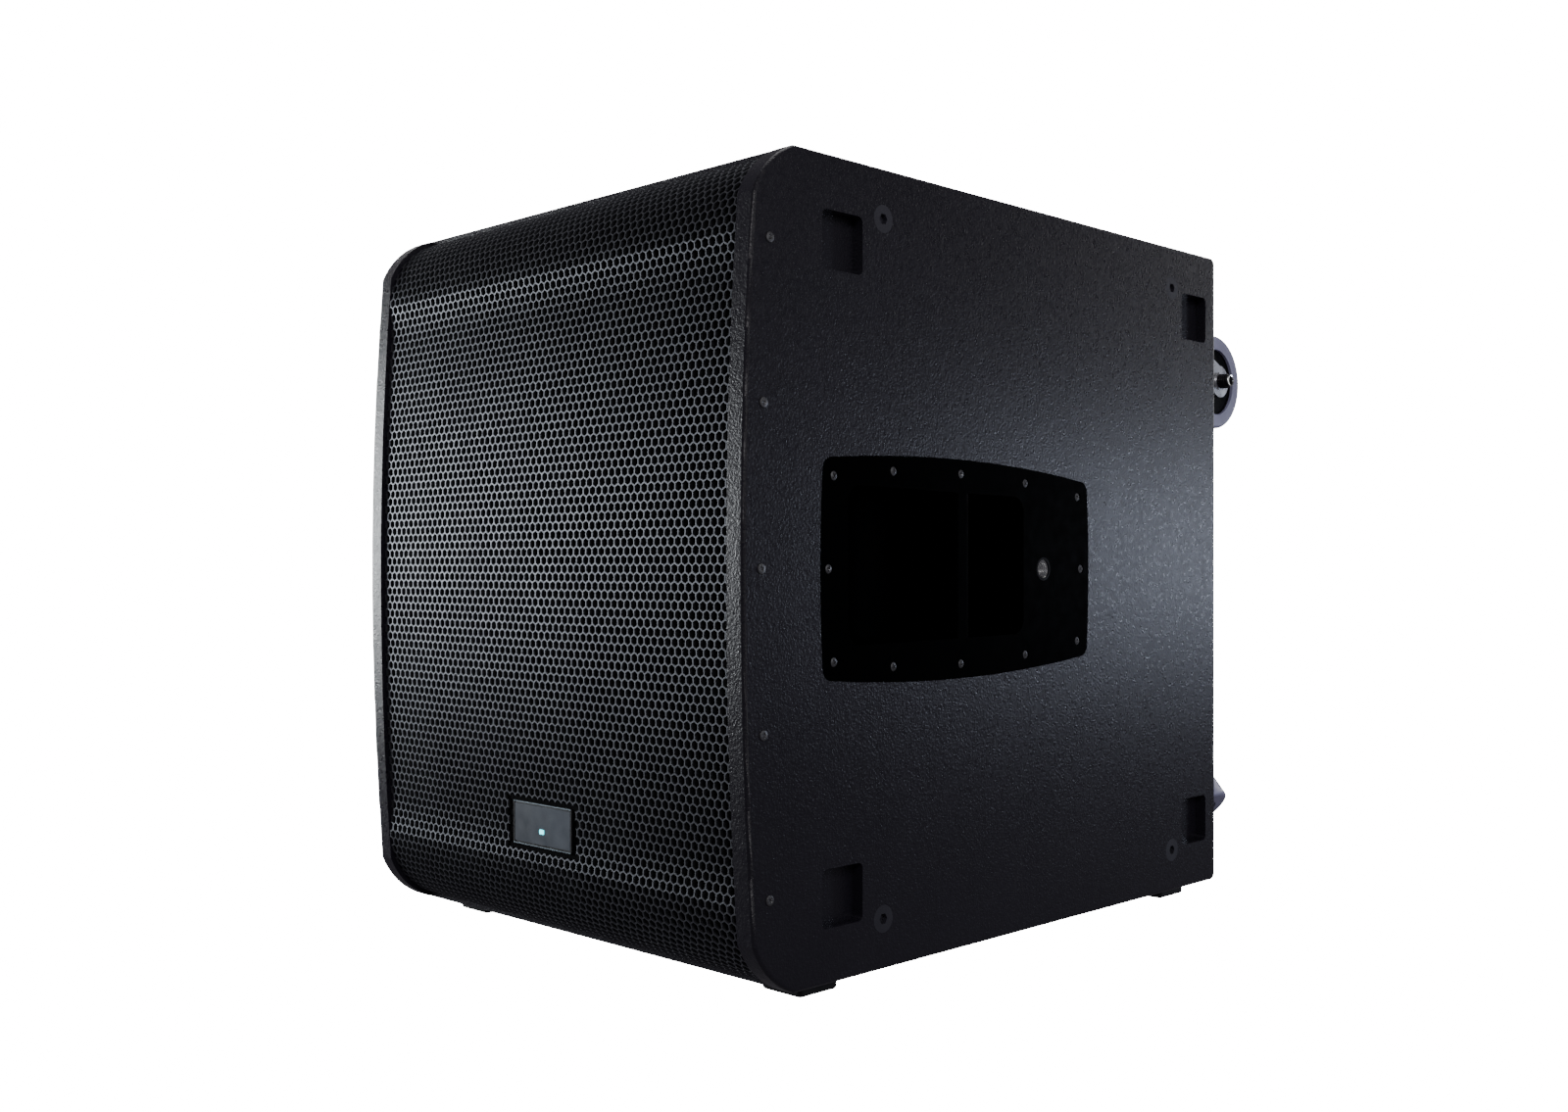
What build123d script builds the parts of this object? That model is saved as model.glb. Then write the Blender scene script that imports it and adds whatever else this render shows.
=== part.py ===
from build123d import *
import os
from math import radians, sqrt, tan

# Powered PA subwoofer cabinet, millimetres.
# +Z is up and the grille faces -Y. The origin is under the middle of the whole object,
# casters included, on the surface that the feet stand on.

# ---- driving dimensions: cabinet -------------------------------------------------------
width = 520.0
height = 640.0
depth = 672.0
panel = 18.0
foot_height = 15.0
edge_round = 3.0
rear_corner = 6.5
front_bow = 11.2
corner_drop = 41.5
corner_set_back = 53.8
corner_radius = 75.0
joint_gap = 0.05

# ---- grille and badge ------------------------------------------------------------------
grille_recess = 4.0
grille_sheet = 1.6
grille_side_gap = 0.3
flange_depth = 28.0
flange_end_inset = 16.5
foam_thickness = 5.0
foam_gap = 0.3
side_screw_count = 5
side_screw_end_inset = 32.5
side_screw_set_back = 18.6
badge_raise = 101.0
badge_width = 83.0
badge_height = 38.0
badge_thickness = 3.0
badge_margin = 6.0
badge_back_margin = 3.5
badge_post_radius = 4.0
badge_post_spacing = 60.0
led_width = 6.0
led_height = 4.0
led_drop = 5.0
led_proud = 0.6
led_length = 14.0

# ---- baffle, woofer and ports ------------------------------------------------------------
baffle_set_back = 45.0
baffle = 24.0
woofer_frame_radius = 230.0
woofer_edge_gap = 12.0
woofer_cut_radius = 208.0
woofer_flange = 12.0
basket_wall = 6.0
basket_throat_radius = 112.0
basket_depth = 118.0
spoke_count = 6
spoke_window_slope = 0.4
magnet_radius = 110.0
magnet_height = 47.0
coil_inner_radius = 50.0
coil_wall = 2.0
coil_clearance = 2.0
coil_length = 72.0
cone_edge_radius = 172.0
cone_wall = 2.0
cone_rise = 70.0
cone_edge_set_back = 4.0
surround_roll = 12.0
surround_wall = 1.2
dust_cap_radius = 60.0
dust_cap_rise = 16.0
dust_cap_wall = 1.0
spider_outer_radius = 90.0
spider_wall = 1.5
woofer_screw_circle = 219.0
woofer_screw_radius = 3.0
woofer_screw_head = 5.0
woofer_screw_count = 8
terminal_width = 24.0
terminal_height = 30.0
port_radius = 50.0
port_wall = 4.0
port_length = 180.0
port_flange_radius = 60.0
port_flange = 5.0
port_x = 165.0
port_height = 68.0

# ---- side handles ------------------------------------------------------------------------
handle_front_set_back = 82.0
handle_length = 360.0
handle_half_front = 85.5
handle_half_middle = 92.0
handle_half_rear = 79.0
handle_middle = 155.0
handle_end_bow = 3.0
handle_corner = 10.0
handle_flange = 4.0
handle_clearance = 0.4
cup_start = 31.0
cup_length = 229.0
cup_raise = 3.0
cup_half_front = 63.0
cup_half_rear = 60.0
cup_corner = 14.0
cup_depth = 62.0
cup_wall = 3.0
grip_start = 129.5
grip_width = 26.5
grip_thickness = 22.0
grip_round = 8.0
handle_screws_at = (
    (15.7, 72.2),
    (85.8, 78.7),
    (172.6, 80.1),
    (263.2, 75.8),
    (342.9, 66.2),
    (9.7, 0.0),
    (348.1, 0.0),
)
m20_bore_radius = 8.65
m20_neck_radius = 10.3
m20_collar_radius = 15.0
m20_floor = 4.0
m20_depth = 50.0
m20_set_back = 289.6
boss_wall = 3.0

# ---- screws ------------------------------------------------------------------------------
screw_clearance = 0.15
recess_screw_radius = 2.0
recess_screw_head = 4.0
recess_screw_length = 14.0
head_thickness = 2.4
plug_head_radius = 11.3
plug_head = 5.0
plug_shank_radius = 5.0
plug_socket_flats = 8.0
plug_inset = 40.5
plug_front_set_back = 154.7
plug_rear_inset = 83.5
nut_plate_size = 30.0
nut_plate = 4.0

# ---- feet and stacking pockets -----------------------------------------------------------
foot_size = 44.0
foot_inset = 25.0
foot_front_set_back = 85.0
foot_rear_inset = 20.0
foot_round = 3.0
foot_recess_radius = 8.0
foot_recess = 7.0
foot_screw_length = 22.0
pocket_clearance = 1.0
pocket_depth = 11.0
pocket_corner = 5.0
pocket_side_inset = 44.0

# ---- top pole socket ---------------------------------------------------------------------
socket_plate_size = 110.0
socket_plate = 4.0
socket_plate_corner = 12.0
socket_screw_spacing = 90.0

# ---- brace and lining --------------------------------------------------------------------
brace_y = 20.0
brace_frame = 62.0
lining_thickness = 20.0
lining_gap = 0.3
lining_side_margin, lining_end_margin, lining_run_margin = 42.0, 82.0, 10.0

# ---- amplifier ---------------------------------------------------------------------------
amp_width = 300.0
amp_height = 370.0
amp_sheet = 3.0
amp_border = 12.0
amp_corner = 8.0
housing_inset = 2.0
housing_depth = 110.0
housing_wall = 1.5
board_margin = 14.5
board_sheet = 2.0
standoff_radius, standoff_height, standoff_inset = 4.0, 10.0, 12.0
toroid_radius, toroid_bore, toroid_height = 38.0, 14.0, 34.0
toroid_x, toroid_raise = -60.0, 90.0
capacitor_radius, capacitor_height = 15.0, 45.0
capacitor_pitch_x, capacitor_pitch_z = 40.0, 42.0
capacitors_x, capacitors_raise = 50.0, 100.0
filter_width, filter_height, filter_rise = 26.0, 30.0, 25.0
filter_pitch = 60.0
filters_x, filters_drop = -55.0, 60.0
heatsink_width = 220.0
heatsink_height = 110.0
heatsink_base = 4.0
heatsink_fin = 10.0
heatsink_fin_width = 2.0
heatsink_fins = 19
heatsink_raise = 110.0
control_gap = 0.2
display_x, display_raise = -62.0, 10.0
display_width, display_height, display_proud = 70.0, 40.0, 2.5
display_corner, display_border, display_recess = 3.0, 6.0, 1.0
knob_x = 14.0
knob_radius, knob_height = 14.0, 13.0
knob_rim_round = 1.5
knob_gap = 1.0
knob_shaft_radius, knob_shaft_reach = 3.0, 12.0
button_x = 62.0
button_radius, button_proud, button_reach = 6.0, 4.0, 4.0
button_rim_round = 0.8
socket_row_drop = 85.0
xlr_input_x, xlr_link_x = -84.0, -40.0
xlr_width, xlr_height, xlr_flange = 26.0, 31.0, 3.0
xlr_flange_corner = 2.0
xlr_barrel_radius, xlr_depth = 11.5, 22.0
xlr_end_wall = 4.0
xlr_mouth_radius = 9.5
xlr_ring_gap = 1.5
contact_circle, contact_count = 4.5, 3
contact_radius, contact_depth = 1.5, 12.0
pin_radius, pin_recess = 1.2, 2.0
latch_width, latch_height, latch_travel = 8.0, 5.0, 3.0
latch_notch = 3.0
latch_gap = 0.3
inlet_x = 84.0
inlet_radius, inlet_depth = 14.0, 24.0
inlet_flange_side, inlet_flange_end, inlet_corner = 2.0, 4.0, 3.0
inlet_wall, inlet_end_wall = 2.0, 5.0
block_width, block_height, block_corner = 11.0, 17.0, 2.0
block_recess = 3.0
rocker_x = 30.0
rocker_width, rocker_height = 20.0, 28.0
rocker_slot_gap = 0.5
rocker_body_depth, rocker_proud, rocker_dip = 6.0, 3.0, 0.8
rocker_taper = 0.5
rocker_angle = 8.0
rocker_pivot_depth = 3.0

# ---- casters -----------------------------------------------------------------------------
caster_inset = 53.0
caster_end_inset = 81.0
caster_plate_size = 80.0
caster_plate_corner = 8.0
caster_plate = 3.0
race_radius = 28.0
race_height = 8.0
swivel_gap = 0.4
fork_sheet = 3.0
race_round = 2.5
kingpin_radius = 6.0
kingpin_head_overlap, kingpin_head = 3.0, 3.0
wheel_radius = 50.0
wheel_width = 32.0
core_radius = 35.0
core_inset = 3.0
hub_radius = 12.0
tread_round = 4.0
axle_radius = 4.0
axle_clearance = 0.1
wheel_side_gap = 1.5
caster_trail = 37.0
fork_tip_radius = 17.0
axle_end, axle_far_end = 16.0, 12.0
wheel_front_gap = 3.6
leg_root = 5.6
leg_foot = 33.6
hex_height = 7.0
washer_height = 1.2
nut_flats = 13.0
caster_screw_spacing = 60.0
caster_turns = {"upper_right": 0.0, "lower_right": 50.0, "upper_left": 0.0, "lower_left": 0.0}

# ---- overall places that follow from the sizes above ---------------------------------------
swivel_stack = caster_plate + race_height + swivel_gap + fork_sheet
caster_height = swivel_stack + wheel_front_gap + 2 * wheel_radius
y_front = -(depth + caster_height) / 2
y_back = y_front + depth
z_bottom = foot_height
z_top = z_bottom + height
z_mid = (z_bottom + z_top) / 2
inner_x = width / 2 - panel
z_floor = z_bottom + panel
z_ceiling = z_top - panel

os.makedirs("parts", exist_ok=True)


def save(piece, name):
    """Label one finished sub-part and write its STEP file."""
    piece.part.label = name
    export_step(piece.part, f"parts/{name}.step")


def cabinet_outline(inset=0.0):
    """Side view of the cabinet in (y, z): bowed front, cut-back corners, square back."""
    corner_z = height / 2 - corner_drop
    with BuildSketch() as outline:
        with BuildLine():
            upper = (y_front + front_bow, z_mid + corner_z)
            lower = (y_front + front_bow, z_mid - corner_z)
            top_start = (y_front + corner_set_back, z_top)
            bottom_start = (y_front + corner_set_back, z_bottom)
            ThreePointArc(lower, (y_front, z_mid), upper)
            RadiusArc(upper, top_start, corner_radius)
            Line(top_start, (y_back, z_top))
            Line((y_back, z_top), (y_back, z_bottom))
            Line((y_back, z_bottom), bottom_start)
            RadiusArc(bottom_start, lower, corner_radius)
        make_face()
        if inset:
            offset(amount=-inset, kind=Kind.INTERSECTION)
    return outline.sketch_local


def handle_outline(grow=0.0):
    """Face view of the side handle in (y, z), grown for its rebate in the panel."""
    front_y = y_front + handle_front_set_back
    rear_y = front_y + handle_length
    with BuildSketch() as outline:
        with BuildLine():
            corners = [
                (front_y + handle_end_bow, z_mid - handle_half_front),
                (front_y + handle_end_bow, z_mid + handle_half_front),
                (rear_y - handle_end_bow, z_mid + handle_half_rear),
                (rear_y - handle_end_bow, z_mid - handle_half_rear),
            ]
            middle_y = front_y + handle_middle
            ThreePointArc(corners[0], (front_y, z_mid), corners[1])
            ThreePointArc(corners[1], (middle_y, z_mid + handle_half_middle), corners[2])
            ThreePointArc(corners[2], (rear_y, z_mid), corners[3])
            ThreePointArc(corners[3], (middle_y, z_mid - handle_half_middle), corners[0])
        make_face()
        fillet(outline.vertices(), radius=handle_corner)
        if grow:
            offset(amount=grow, kind=Kind.ARC)
    return outline.sketch_local


def cup_outline(grow=0.0):
    """Face view of the hand cup in (y, z), slightly taller at its front end."""
    start = y_front + handle_front_set_back + cup_start
    end = start + cup_length
    centre = z_mid + cup_raise
    with BuildSketch() as outline:
        Polygon(
            (start, centre - cup_half_front),
            (end, centre - cup_half_rear),
            (end, centre + cup_half_rear),
            (start, centre + cup_half_front),
            align=None,
        )
        fillet(outline.vertices(), radius=cup_corner)
        if grow:
            offset(amount=grow, kind=Kind.ARC)
    return outline.sketch_local


def ring(radius_a, radius_b, start, end):
    """Flat washer section in (radius, y) for a turned piece."""
    return [(radius_a, start), (radius_b, start), (radius_b, end), (radius_a, end)]


# Rows of the amplifier panel.
heatsink_z = z_mid + heatsink_raise
display_z = z_mid + display_raise
knob_z = display_z
button_z = display_z
xlr_z = z_mid - socket_row_drop
inlet_z = xlr_z
rocker_z = xlr_z

# Points in (y, z) that several pieces share.
handle_y = y_front + handle_front_set_back
socket_y = (y_front + y_back) / 2
cup_front_y = handle_y + cup_start
m20_y = handle_y + m20_set_back
handle_screw_points = [
    (handle_y + along, z_mid + side * across)
    for along, across in handle_screws_at
    for side in ((1, -1) if across else (1,))
]
plug_points = [
    (y, z)
    for y in (y_front + plug_front_set_back, y_back - plug_rear_inset)
    for z in (z_bottom + plug_inset, z_top - plug_inset)
]
foot_ys = (
    y_front + foot_front_set_back + foot_size / 2,
    y_back - foot_rear_inset - foot_size / 2,
)
foot_x = width / 2 - foot_inset - foot_size / 2
foot_points = [(x, y) for x in (-foot_x, foot_x) for y in foot_ys]
pocket_points = [
    (y, z)
    for y in foot_ys
    for z in (z_bottom + pocket_side_inset + foot_size / 2, z_top - pocket_side_inset - foot_size / 2)
]
pocket_size = foot_size + 2 * pocket_clearance
bow_half = height / 2 - corner_drop
bow_radius = (bow_half**2 + front_bow**2) / (2 * front_bow)
side_screw_reach = bow_half - side_screw_end_inset
side_screw_step = 2 * side_screw_reach / (side_screw_count - 1)
side_screw_heights = [i * side_screw_step - side_screw_reach for i in range(side_screw_count)]
side_screw_points = [
    (y_front + side_screw_set_back + h**2 / (2 * bow_radius), z_mid + h) for h in side_screw_heights
]
m20_outer_radius = m20_collar_radius + boss_wall

full_outline = cabinet_outline()
grille_outer = cabinet_outline(grille_recess)
grille_inner = cabinet_outline(grille_recess + grille_sheet)
foam_outer = cabinet_outline(grille_recess + grille_sheet + foam_gap)
foam_inner = cabinet_outline(grille_recess + grille_sheet + foam_gap + foam_thickness)
flange_inner = cabinet_outline(flange_depth)
handle_face = handle_outline()
handle_rebate = handle_outline(handle_clearance)
cup_inside = cup_outline()
cup_outside = cup_outline(cup_wall)
cup_hole = cup_outline(cup_wall + handle_clearance)

grille_end_y = y_front + corner_set_back + 1.0
baffle_y = y_front + baffle_set_back
baffle_back_y = baffle_y + baffle
woofer_z = z_ceiling - woofer_edge_gap - woofer_frame_radius
port_z = z_floor + port_height
back_panel_y = y_back - panel
woofer_plane = Plane.XY.offset(woofer_z)
woofer_axis = Axis((0, 0, woofer_z), (0, 1, 0))


# ---- plywood panels ------------------------------------------------------------------------
def side_panel(side):
    """One side: round-over, rebate and hole for the handle, stacking pockets, screw holes."""
    outer = Plane.YZ.offset(side * width / 2)
    inward = -side
    with BuildPart() as board:
        with BuildSketch(outer):
            add(full_outline)
        extrude(amount=inward * panel)
        rear_edges = board.edges().filter_by(Axis.X).group_by(Axis.Y)[-1]
        fillet(rear_edges, radius=rear_corner)
        outer_face = board.faces().filter_by(Axis.X).sort_by(Axis.X)[-1 if side > 0 else 0]
        fillet(outer_face.edges(), radius=edge_round)
        with BuildSketch(outer):
            add(handle_rebate)
        extrude(amount=inward * handle_flange, mode=Mode.SUBTRACT)
        with BuildSketch(outer):
            add(cup_hole)
            with Locations((m20_y, z_mid)):
                Circle(m20_outer_radius + handle_clearance)
            with Locations(*handle_screw_points):
                Circle(recess_screw_radius + screw_clearance)
            with Locations(*plug_points):
                Circle(plug_shank_radius + screw_clearance)
            with Locations(*side_screw_points):
                Circle(recess_screw_radius + screw_clearance)
        extrude(amount=inward * panel, mode=Mode.SUBTRACT)
        with BuildSketch(outer):
            with Locations(*plug_points):
                Circle(plug_head_radius + screw_clearance)
        extrude(amount=inward * plug_head, mode=Mode.SUBTRACT)
        with BuildSketch(outer):
            with Locations(*pocket_points):
                RectangleRounded(pocket_size, pocket_size, pocket_corner)
        extrude(amount=inward * pocket_depth, mode=Mode.SUBTRACT)
    return board


def top_panel():
    """Top board with four stacking pockets and the opening for the pole socket."""
    with BuildPart() as board:
        with BuildSketch(Plane.XY.offset(z_top)):
            with Locations((0, (grille_end_y + y_back) / 2)):
                Rectangle(2 * inner_x, y_back - grille_end_y)
        extrude(amount=-panel)
        with BuildSketch(Plane.XY.offset(z_top)):
            with Locations(*foot_points):
                RectangleRounded(pocket_size, pocket_size, pocket_corner)
        extrude(amount=-pocket_depth, mode=Mode.SUBTRACT)
        with BuildSketch(Plane.XY.offset(z_top)):
            with Locations((0, socket_y)):
                rebate = socket_plate_size + 2 * handle_clearance
                RectangleRounded(rebate, rebate, socket_plate_corner)
        extrude(amount=-socket_plate, mode=Mode.SUBTRACT)
        with BuildSketch(Plane.XY.offset(z_top)):
            with Locations((0, socket_y)):
                Circle(m20_outer_radius + handle_clearance)
                with GridLocations(socket_screw_spacing, socket_screw_spacing, 2, 2):
                    Circle(recess_screw_radius + screw_clearance)
        extrude(amount=-panel, mode=Mode.SUBTRACT)
    return board


def bottom_panel():
    """Bottom board with the screw holes of the feet."""
    with BuildPart() as board:
        with BuildSketch(Plane.XY.offset(z_bottom)):
            with Locations((0, (grille_end_y + y_back) / 2)):
                Rectangle(2 * inner_x, y_back - grille_end_y)
            with Locations(*foot_points):
                Circle(recess_screw_radius + screw_clearance, mode=Mode.SUBTRACT)
        extrude(amount=panel)
    return board


def back_panel():
    """Rear board with the amplifier opening and its rebate."""
    with BuildPart() as board:
        with BuildSketch(Plane.XZ.offset(-y_back)):
            with Locations((0, z_mid)):
                Rectangle(2 * inner_x, z_ceiling - z_floor)
                Rectangle(
                    amp_width - 2 * amp_border, amp_height - 2 * amp_border, mode=Mode.SUBTRACT
                )
            with Locations(*caster_screw_points()):
                Circle(recess_screw_radius + screw_clearance, mode=Mode.SUBTRACT)
        extrude(amount=panel)
        with BuildSketch(Plane.XZ.offset(-y_back)):
            with Locations((0, z_mid)):
                rebate_width = amp_width + 2 * handle_clearance
                rebate_height = amp_height + 2 * handle_clearance
                RectangleRounded(rebate_width, rebate_height, amp_corner)
        extrude(amount=amp_sheet, mode=Mode.SUBTRACT)
        with BuildSketch(Plane.XZ.offset(-y_back)):
            with Locations(*amp_screw_points()):
                Circle(recess_screw_radius + screw_clearance)
        extrude(amount=panel, mode=Mode.SUBTRACT)
    return board


def front_baffle():
    """Loudspeaker board, set back behind the grille."""
    with BuildPart() as board:
        with BuildSketch(Plane.XZ.offset(-baffle_back_y)):
            with Locations((0, z_mid)):
                Rectangle(2 * inner_x, z_ceiling - z_floor)
            with Locations((0, woofer_z)):
                Circle(woofer_cut_radius, mode=Mode.SUBTRACT)
                with PolarLocations(woofer_screw_circle, woofer_screw_count, start_angle=22.5):
                    Circle(woofer_screw_radius + screw_clearance, mode=Mode.SUBTRACT)
            with Locations((-port_x, port_z), (port_x, port_z)):
                Circle(port_radius + port_wall + handle_clearance, mode=Mode.SUBTRACT)
        extrude(amount=baffle)
    return board


def window_brace():
    """Upright brace frame between all four walls, behind the woofer."""
    with BuildPart() as board:
        with BuildSketch(Plane.XZ.offset(-brace_y)):
            with Locations((0, z_mid)):
                Rectangle(2 * inner_x, z_ceiling - z_floor)
                RectangleRounded(
                    2 * (inner_x - brace_frame),
                    z_ceiling - z_floor - 2 * brace_frame,
                    brace_frame / 2,
                    mode=Mode.SUBTRACT,
                )
        extrude(amount=panel)
    return board


# ---- front ---------------------------------------------------------------------------------
def front_strip(outer, inner, half_width):
    """Curved sheet that follows the front of the cabinet round both corners."""
    with BuildPart() as strip:
        with BuildSketch(Plane.YZ.offset(-half_width)):
            add(outer)
            add(inner, mode=Mode.SUBTRACT)
            with Locations((grille_end_y, z_mid)):
                Rectangle(depth * 2, height * 2, align=(Align.MIN, Align.CENTER), mode=Mode.SUBTRACT)
        extrude(amount=2 * half_width)
        with BuildSketch(Plane.XZ.offset(-baffle_y)):
            with Locations((0, badge_z)):
                Rectangle(badge_width + 2 * badge_margin, badge_height + 2 * badge_back_margin)
        extrude(amount=baffle_set_back * 2, mode=Mode.SUBTRACT)
    return strip


def grille():
    """Steel front sheet with a return flange along each side for its screws."""
    half_width = inner_x - grille_side_gap
    sheet = front_strip(grille_outer, grille_inner, half_width)
    with BuildPart() as piece:
        add(sheet.part)
        for side in (-1, 1):
            with BuildSketch(Plane.YZ.offset(side * half_width)):
                add(grille_inner)
                add(flange_inner, mode=Mode.SUBTRACT)
                with Locations((y_front, z_mid)):
                    Rectangle(2 * baffle_set_back, 2 * (bow_half - flange_end_inset), mode=Mode.INTERSECT)
                with Locations(*side_screw_points):
                    Circle(recess_screw_radius + screw_clearance, mode=Mode.SUBTRACT)
            extrude(amount=-side * grille_sheet)
    return piece


def grille_foam():
    """Acoustic foam sheet held behind the steel sheet."""
    return front_strip(foam_outer, foam_inner, inner_x - grille_side_gap - grille_sheet - foam_gap)


def grille_screws():
    """Ten small pan-head screws through the side panels into the grille flanges."""
    with BuildPart() as group:
        for side in (-1, 1):
            with BuildSketch(Plane.YZ.offset(side * width / 2)):
                with Locations(*side_screw_points):
                    Circle(recess_screw_head)
            extrude(amount=side * head_thickness / 2)
            with BuildSketch(Plane.YZ.offset(side * width / 2)):
                with Locations(*side_screw_points):
                    Circle(recess_screw_radius)
            extrude(amount=-side * (panel + grille_side_gap + grille_sheet))
    return group


badge_z = z_bottom + badge_raise
badge_bow = (badge_z - z_mid) ** 2 / (2 * bow_radius)
badge_front_y = y_front + grille_recess + badge_bow


def badge_plate():
    """Plain name-plate blank on two posts that stand on the baffle."""
    with BuildPart() as piece:
        with BuildSketch(Plane.XZ.offset(-badge_front_y - badge_thickness)):
            with Locations((0, badge_z)):
                RectangleRounded(badge_width, badge_height, 2)
        extrude(amount=badge_thickness)
        with BuildSketch(Plane.XZ.offset(-badge_front_y - badge_thickness)):
            with Locations((0, badge_z)):
                with GridLocations(badge_post_spacing, 1, 2, 1):
                    Circle(badge_post_radius)
        extrude(amount=-(baffle_y - badge_front_y - badge_thickness))
        with BuildSketch(Plane.XZ.offset(-badge_front_y - badge_thickness)):
            with Locations((0, badge_z - led_drop)):
                Rectangle(led_width + 0.2, led_height + 0.2)
        extrude(amount=badge_thickness, mode=Mode.SUBTRACT)
    return piece


def badge_led():
    """Light pipe of the status light, through the plate."""
    with BuildPart() as piece:
        with BuildSketch(Plane.XZ.offset(-badge_front_y + led_proud)):
            with Locations((0, badge_z - led_drop)):
                Rectangle(led_width, led_height)
        extrude(amount=-led_length)
    return piece


# ---- handles and pole sockets ----------------------------------------------------------------
def handle(side):
    """Moulded side handle: flange, hand cup, grip bar across its mouth, socket boss."""
    outer = Plane.YZ.offset(side * width / 2)
    inward = -side
    grip_y = cup_front_y + grip_start + grip_width / 2
    with BuildPart() as piece:
        with BuildSketch(outer):
            add(handle_face)
        extrude(amount=inward * handle_flange)
        with BuildSketch(outer):
            add(cup_outside)
        extrude(amount=inward * (cup_depth + cup_wall))
        with BuildSketch(outer):
            with Locations((m20_y, z_mid)):
                Circle(m20_outer_radius)
        extrude(amount=inward * m20_depth)
        with BuildSketch(outer):
            add(cup_inside)
        extrude(amount=inward * cup_depth, mode=Mode.SUBTRACT)
        with BuildSketch(Plane.XY.offset(z_mid + cup_raise - cup_half_front - 1)):
            with Locations((side * (width / 2 - grip_thickness / 2), grip_y)):
                RectangleRounded(grip_thickness, grip_width, grip_round)
        extrude(amount=2 * cup_half_front + 2)
        with BuildSketch(outer):
            with Locations((m20_y, z_mid)):
                Circle(m20_neck_radius + joint_gap)
        extrude(amount=inward * handle_flange, mode=Mode.SUBTRACT)
        with BuildSketch(Plane.YZ.offset(side * (width / 2 - handle_flange))):
            with Locations((m20_y, z_mid)):
                Circle(m20_collar_radius + joint_gap)
        extrude(amount=inward * m20_depth, mode=Mode.SUBTRACT)
        with BuildSketch(outer):
            with Locations(*handle_screw_points):
                Circle(recess_screw_radius + screw_clearance)
        extrude(amount=inward * handle_flange, mode=Mode.SUBTRACT)
        with BuildSketch(outer):
            with Locations(*handle_screw_points):
                Circle(recess_screw_head + screw_clearance)
        extrude(amount=inward * head_thickness, mode=Mode.SUBTRACT)
    return piece


def pole_inserts():
    """Threaded M20 bushes of the two side handles, closed at the inner end."""
    with BuildPart() as group:
        for side in (-1, 1):
            outer = Plane.YZ.offset(side * width / 2)
            with BuildSketch(outer):
                with Locations((m20_y, z_mid)):
                    Circle(m20_neck_radius)
            extrude(amount=-side * m20_depth)
            with BuildSketch(Plane.YZ.offset(side * (width / 2 - handle_flange))):
                with Locations((m20_y, z_mid)):
                    Circle(m20_collar_radius)
            extrude(amount=-side * (m20_depth - handle_flange))
            with BuildSketch(outer):
                with Locations((m20_y, z_mid)):
                    Circle(m20_bore_radius)
            extrude(amount=-side * (m20_depth - m20_floor), mode=Mode.SUBTRACT)
    return group


def top_socket_plate():
    """Steel plate with a threaded M20 bush for a pole, let into the top."""
    with BuildPart() as piece:
        with BuildSketch(Plane.XY.offset(z_top)):
            with Locations((0, socket_y)):
                RectangleRounded(socket_plate_size, socket_plate_size, socket_plate_corner)
                with GridLocations(socket_screw_spacing, socket_screw_spacing, 2, 2):
                    Circle(recess_screw_radius + screw_clearance, mode=Mode.SUBTRACT)
        extrude(amount=-socket_plate)
        with BuildSketch(Plane.XY.offset(z_top - socket_plate)):
            with Locations((0, socket_y)):
                Circle(m20_collar_radius)
        extrude(amount=-(m20_depth - socket_plate))
        with BuildSketch(Plane.XY.offset(z_top)):
            with Locations((0, socket_y)):
                Circle(m20_bore_radius)
        extrude(amount=-(m20_depth - m20_floor), mode=Mode.SUBTRACT)
        with BuildSketch(Plane.XY.offset(z_top)):
            with Locations((0, socket_y)):
                with GridLocations(socket_screw_spacing, socket_screw_spacing, 2, 2):
                    Circle(recess_screw_head + screw_clearance)
        extrude(amount=-head_thickness, mode=Mode.SUBTRACT)
    return piece


def recess_screws():
    """Screws of both handles and of the top plate, heads sunk level."""
    with BuildPart() as group:
        for side in (-1, 1):
            with BuildSketch(Plane.YZ.offset(side * (width / 2 - head_thickness))):
                with Locations(*handle_screw_points):
                    Circle(recess_screw_head)
            extrude(amount=side * head_thickness)
            with BuildSketch(Plane.YZ.offset(side * (width / 2 - head_thickness))):
                with Locations(*handle_screw_points):
                    Circle(recess_screw_radius)
            extrude(amount=-side * recess_screw_length)
        with BuildSketch(Plane.XY.offset(z_top - head_thickness)):
            with Locations((0, socket_y)):
                with GridLocations(socket_screw_spacing, socket_screw_spacing, 2, 2):
                    Circle(recess_screw_head)
        extrude(amount=head_thickness)
        with BuildSketch(Plane.XY.offset(z_top - head_thickness)):
            with Locations((0, socket_y)):
                with GridLocations(socket_screw_spacing, socket_screw_spacing, 2, 2):
                    Circle(recess_screw_radius)
        extrude(amount=-recess_screw_length)
    return group


# ---- feet and rigging points -----------------------------------------------------------------
def rubber_feet():
    """Four square rubber feet with a sunk screw seat."""
    with BuildPart() as group:
        with BuildSketch(Plane.XY):
            with Locations(*foot_points):
                RectangleRounded(foot_size, foot_size, foot_round + 1)
        extrude(amount=foot_height)
        lower_edges = group.edges().group_by(Axis.Z)[0]
        fillet(lower_edges, radius=foot_round)
        with BuildSketch(Plane.XY):
            with Locations(*foot_points):
                Circle(foot_recess_radius)
        extrude(amount=foot_recess, mode=Mode.SUBTRACT)
        with BuildSketch(Plane.XY):
            with Locations(*foot_points):
                Circle(recess_screw_radius + screw_clearance)
        extrude(amount=foot_height, mode=Mode.SUBTRACT)
    return group


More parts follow.
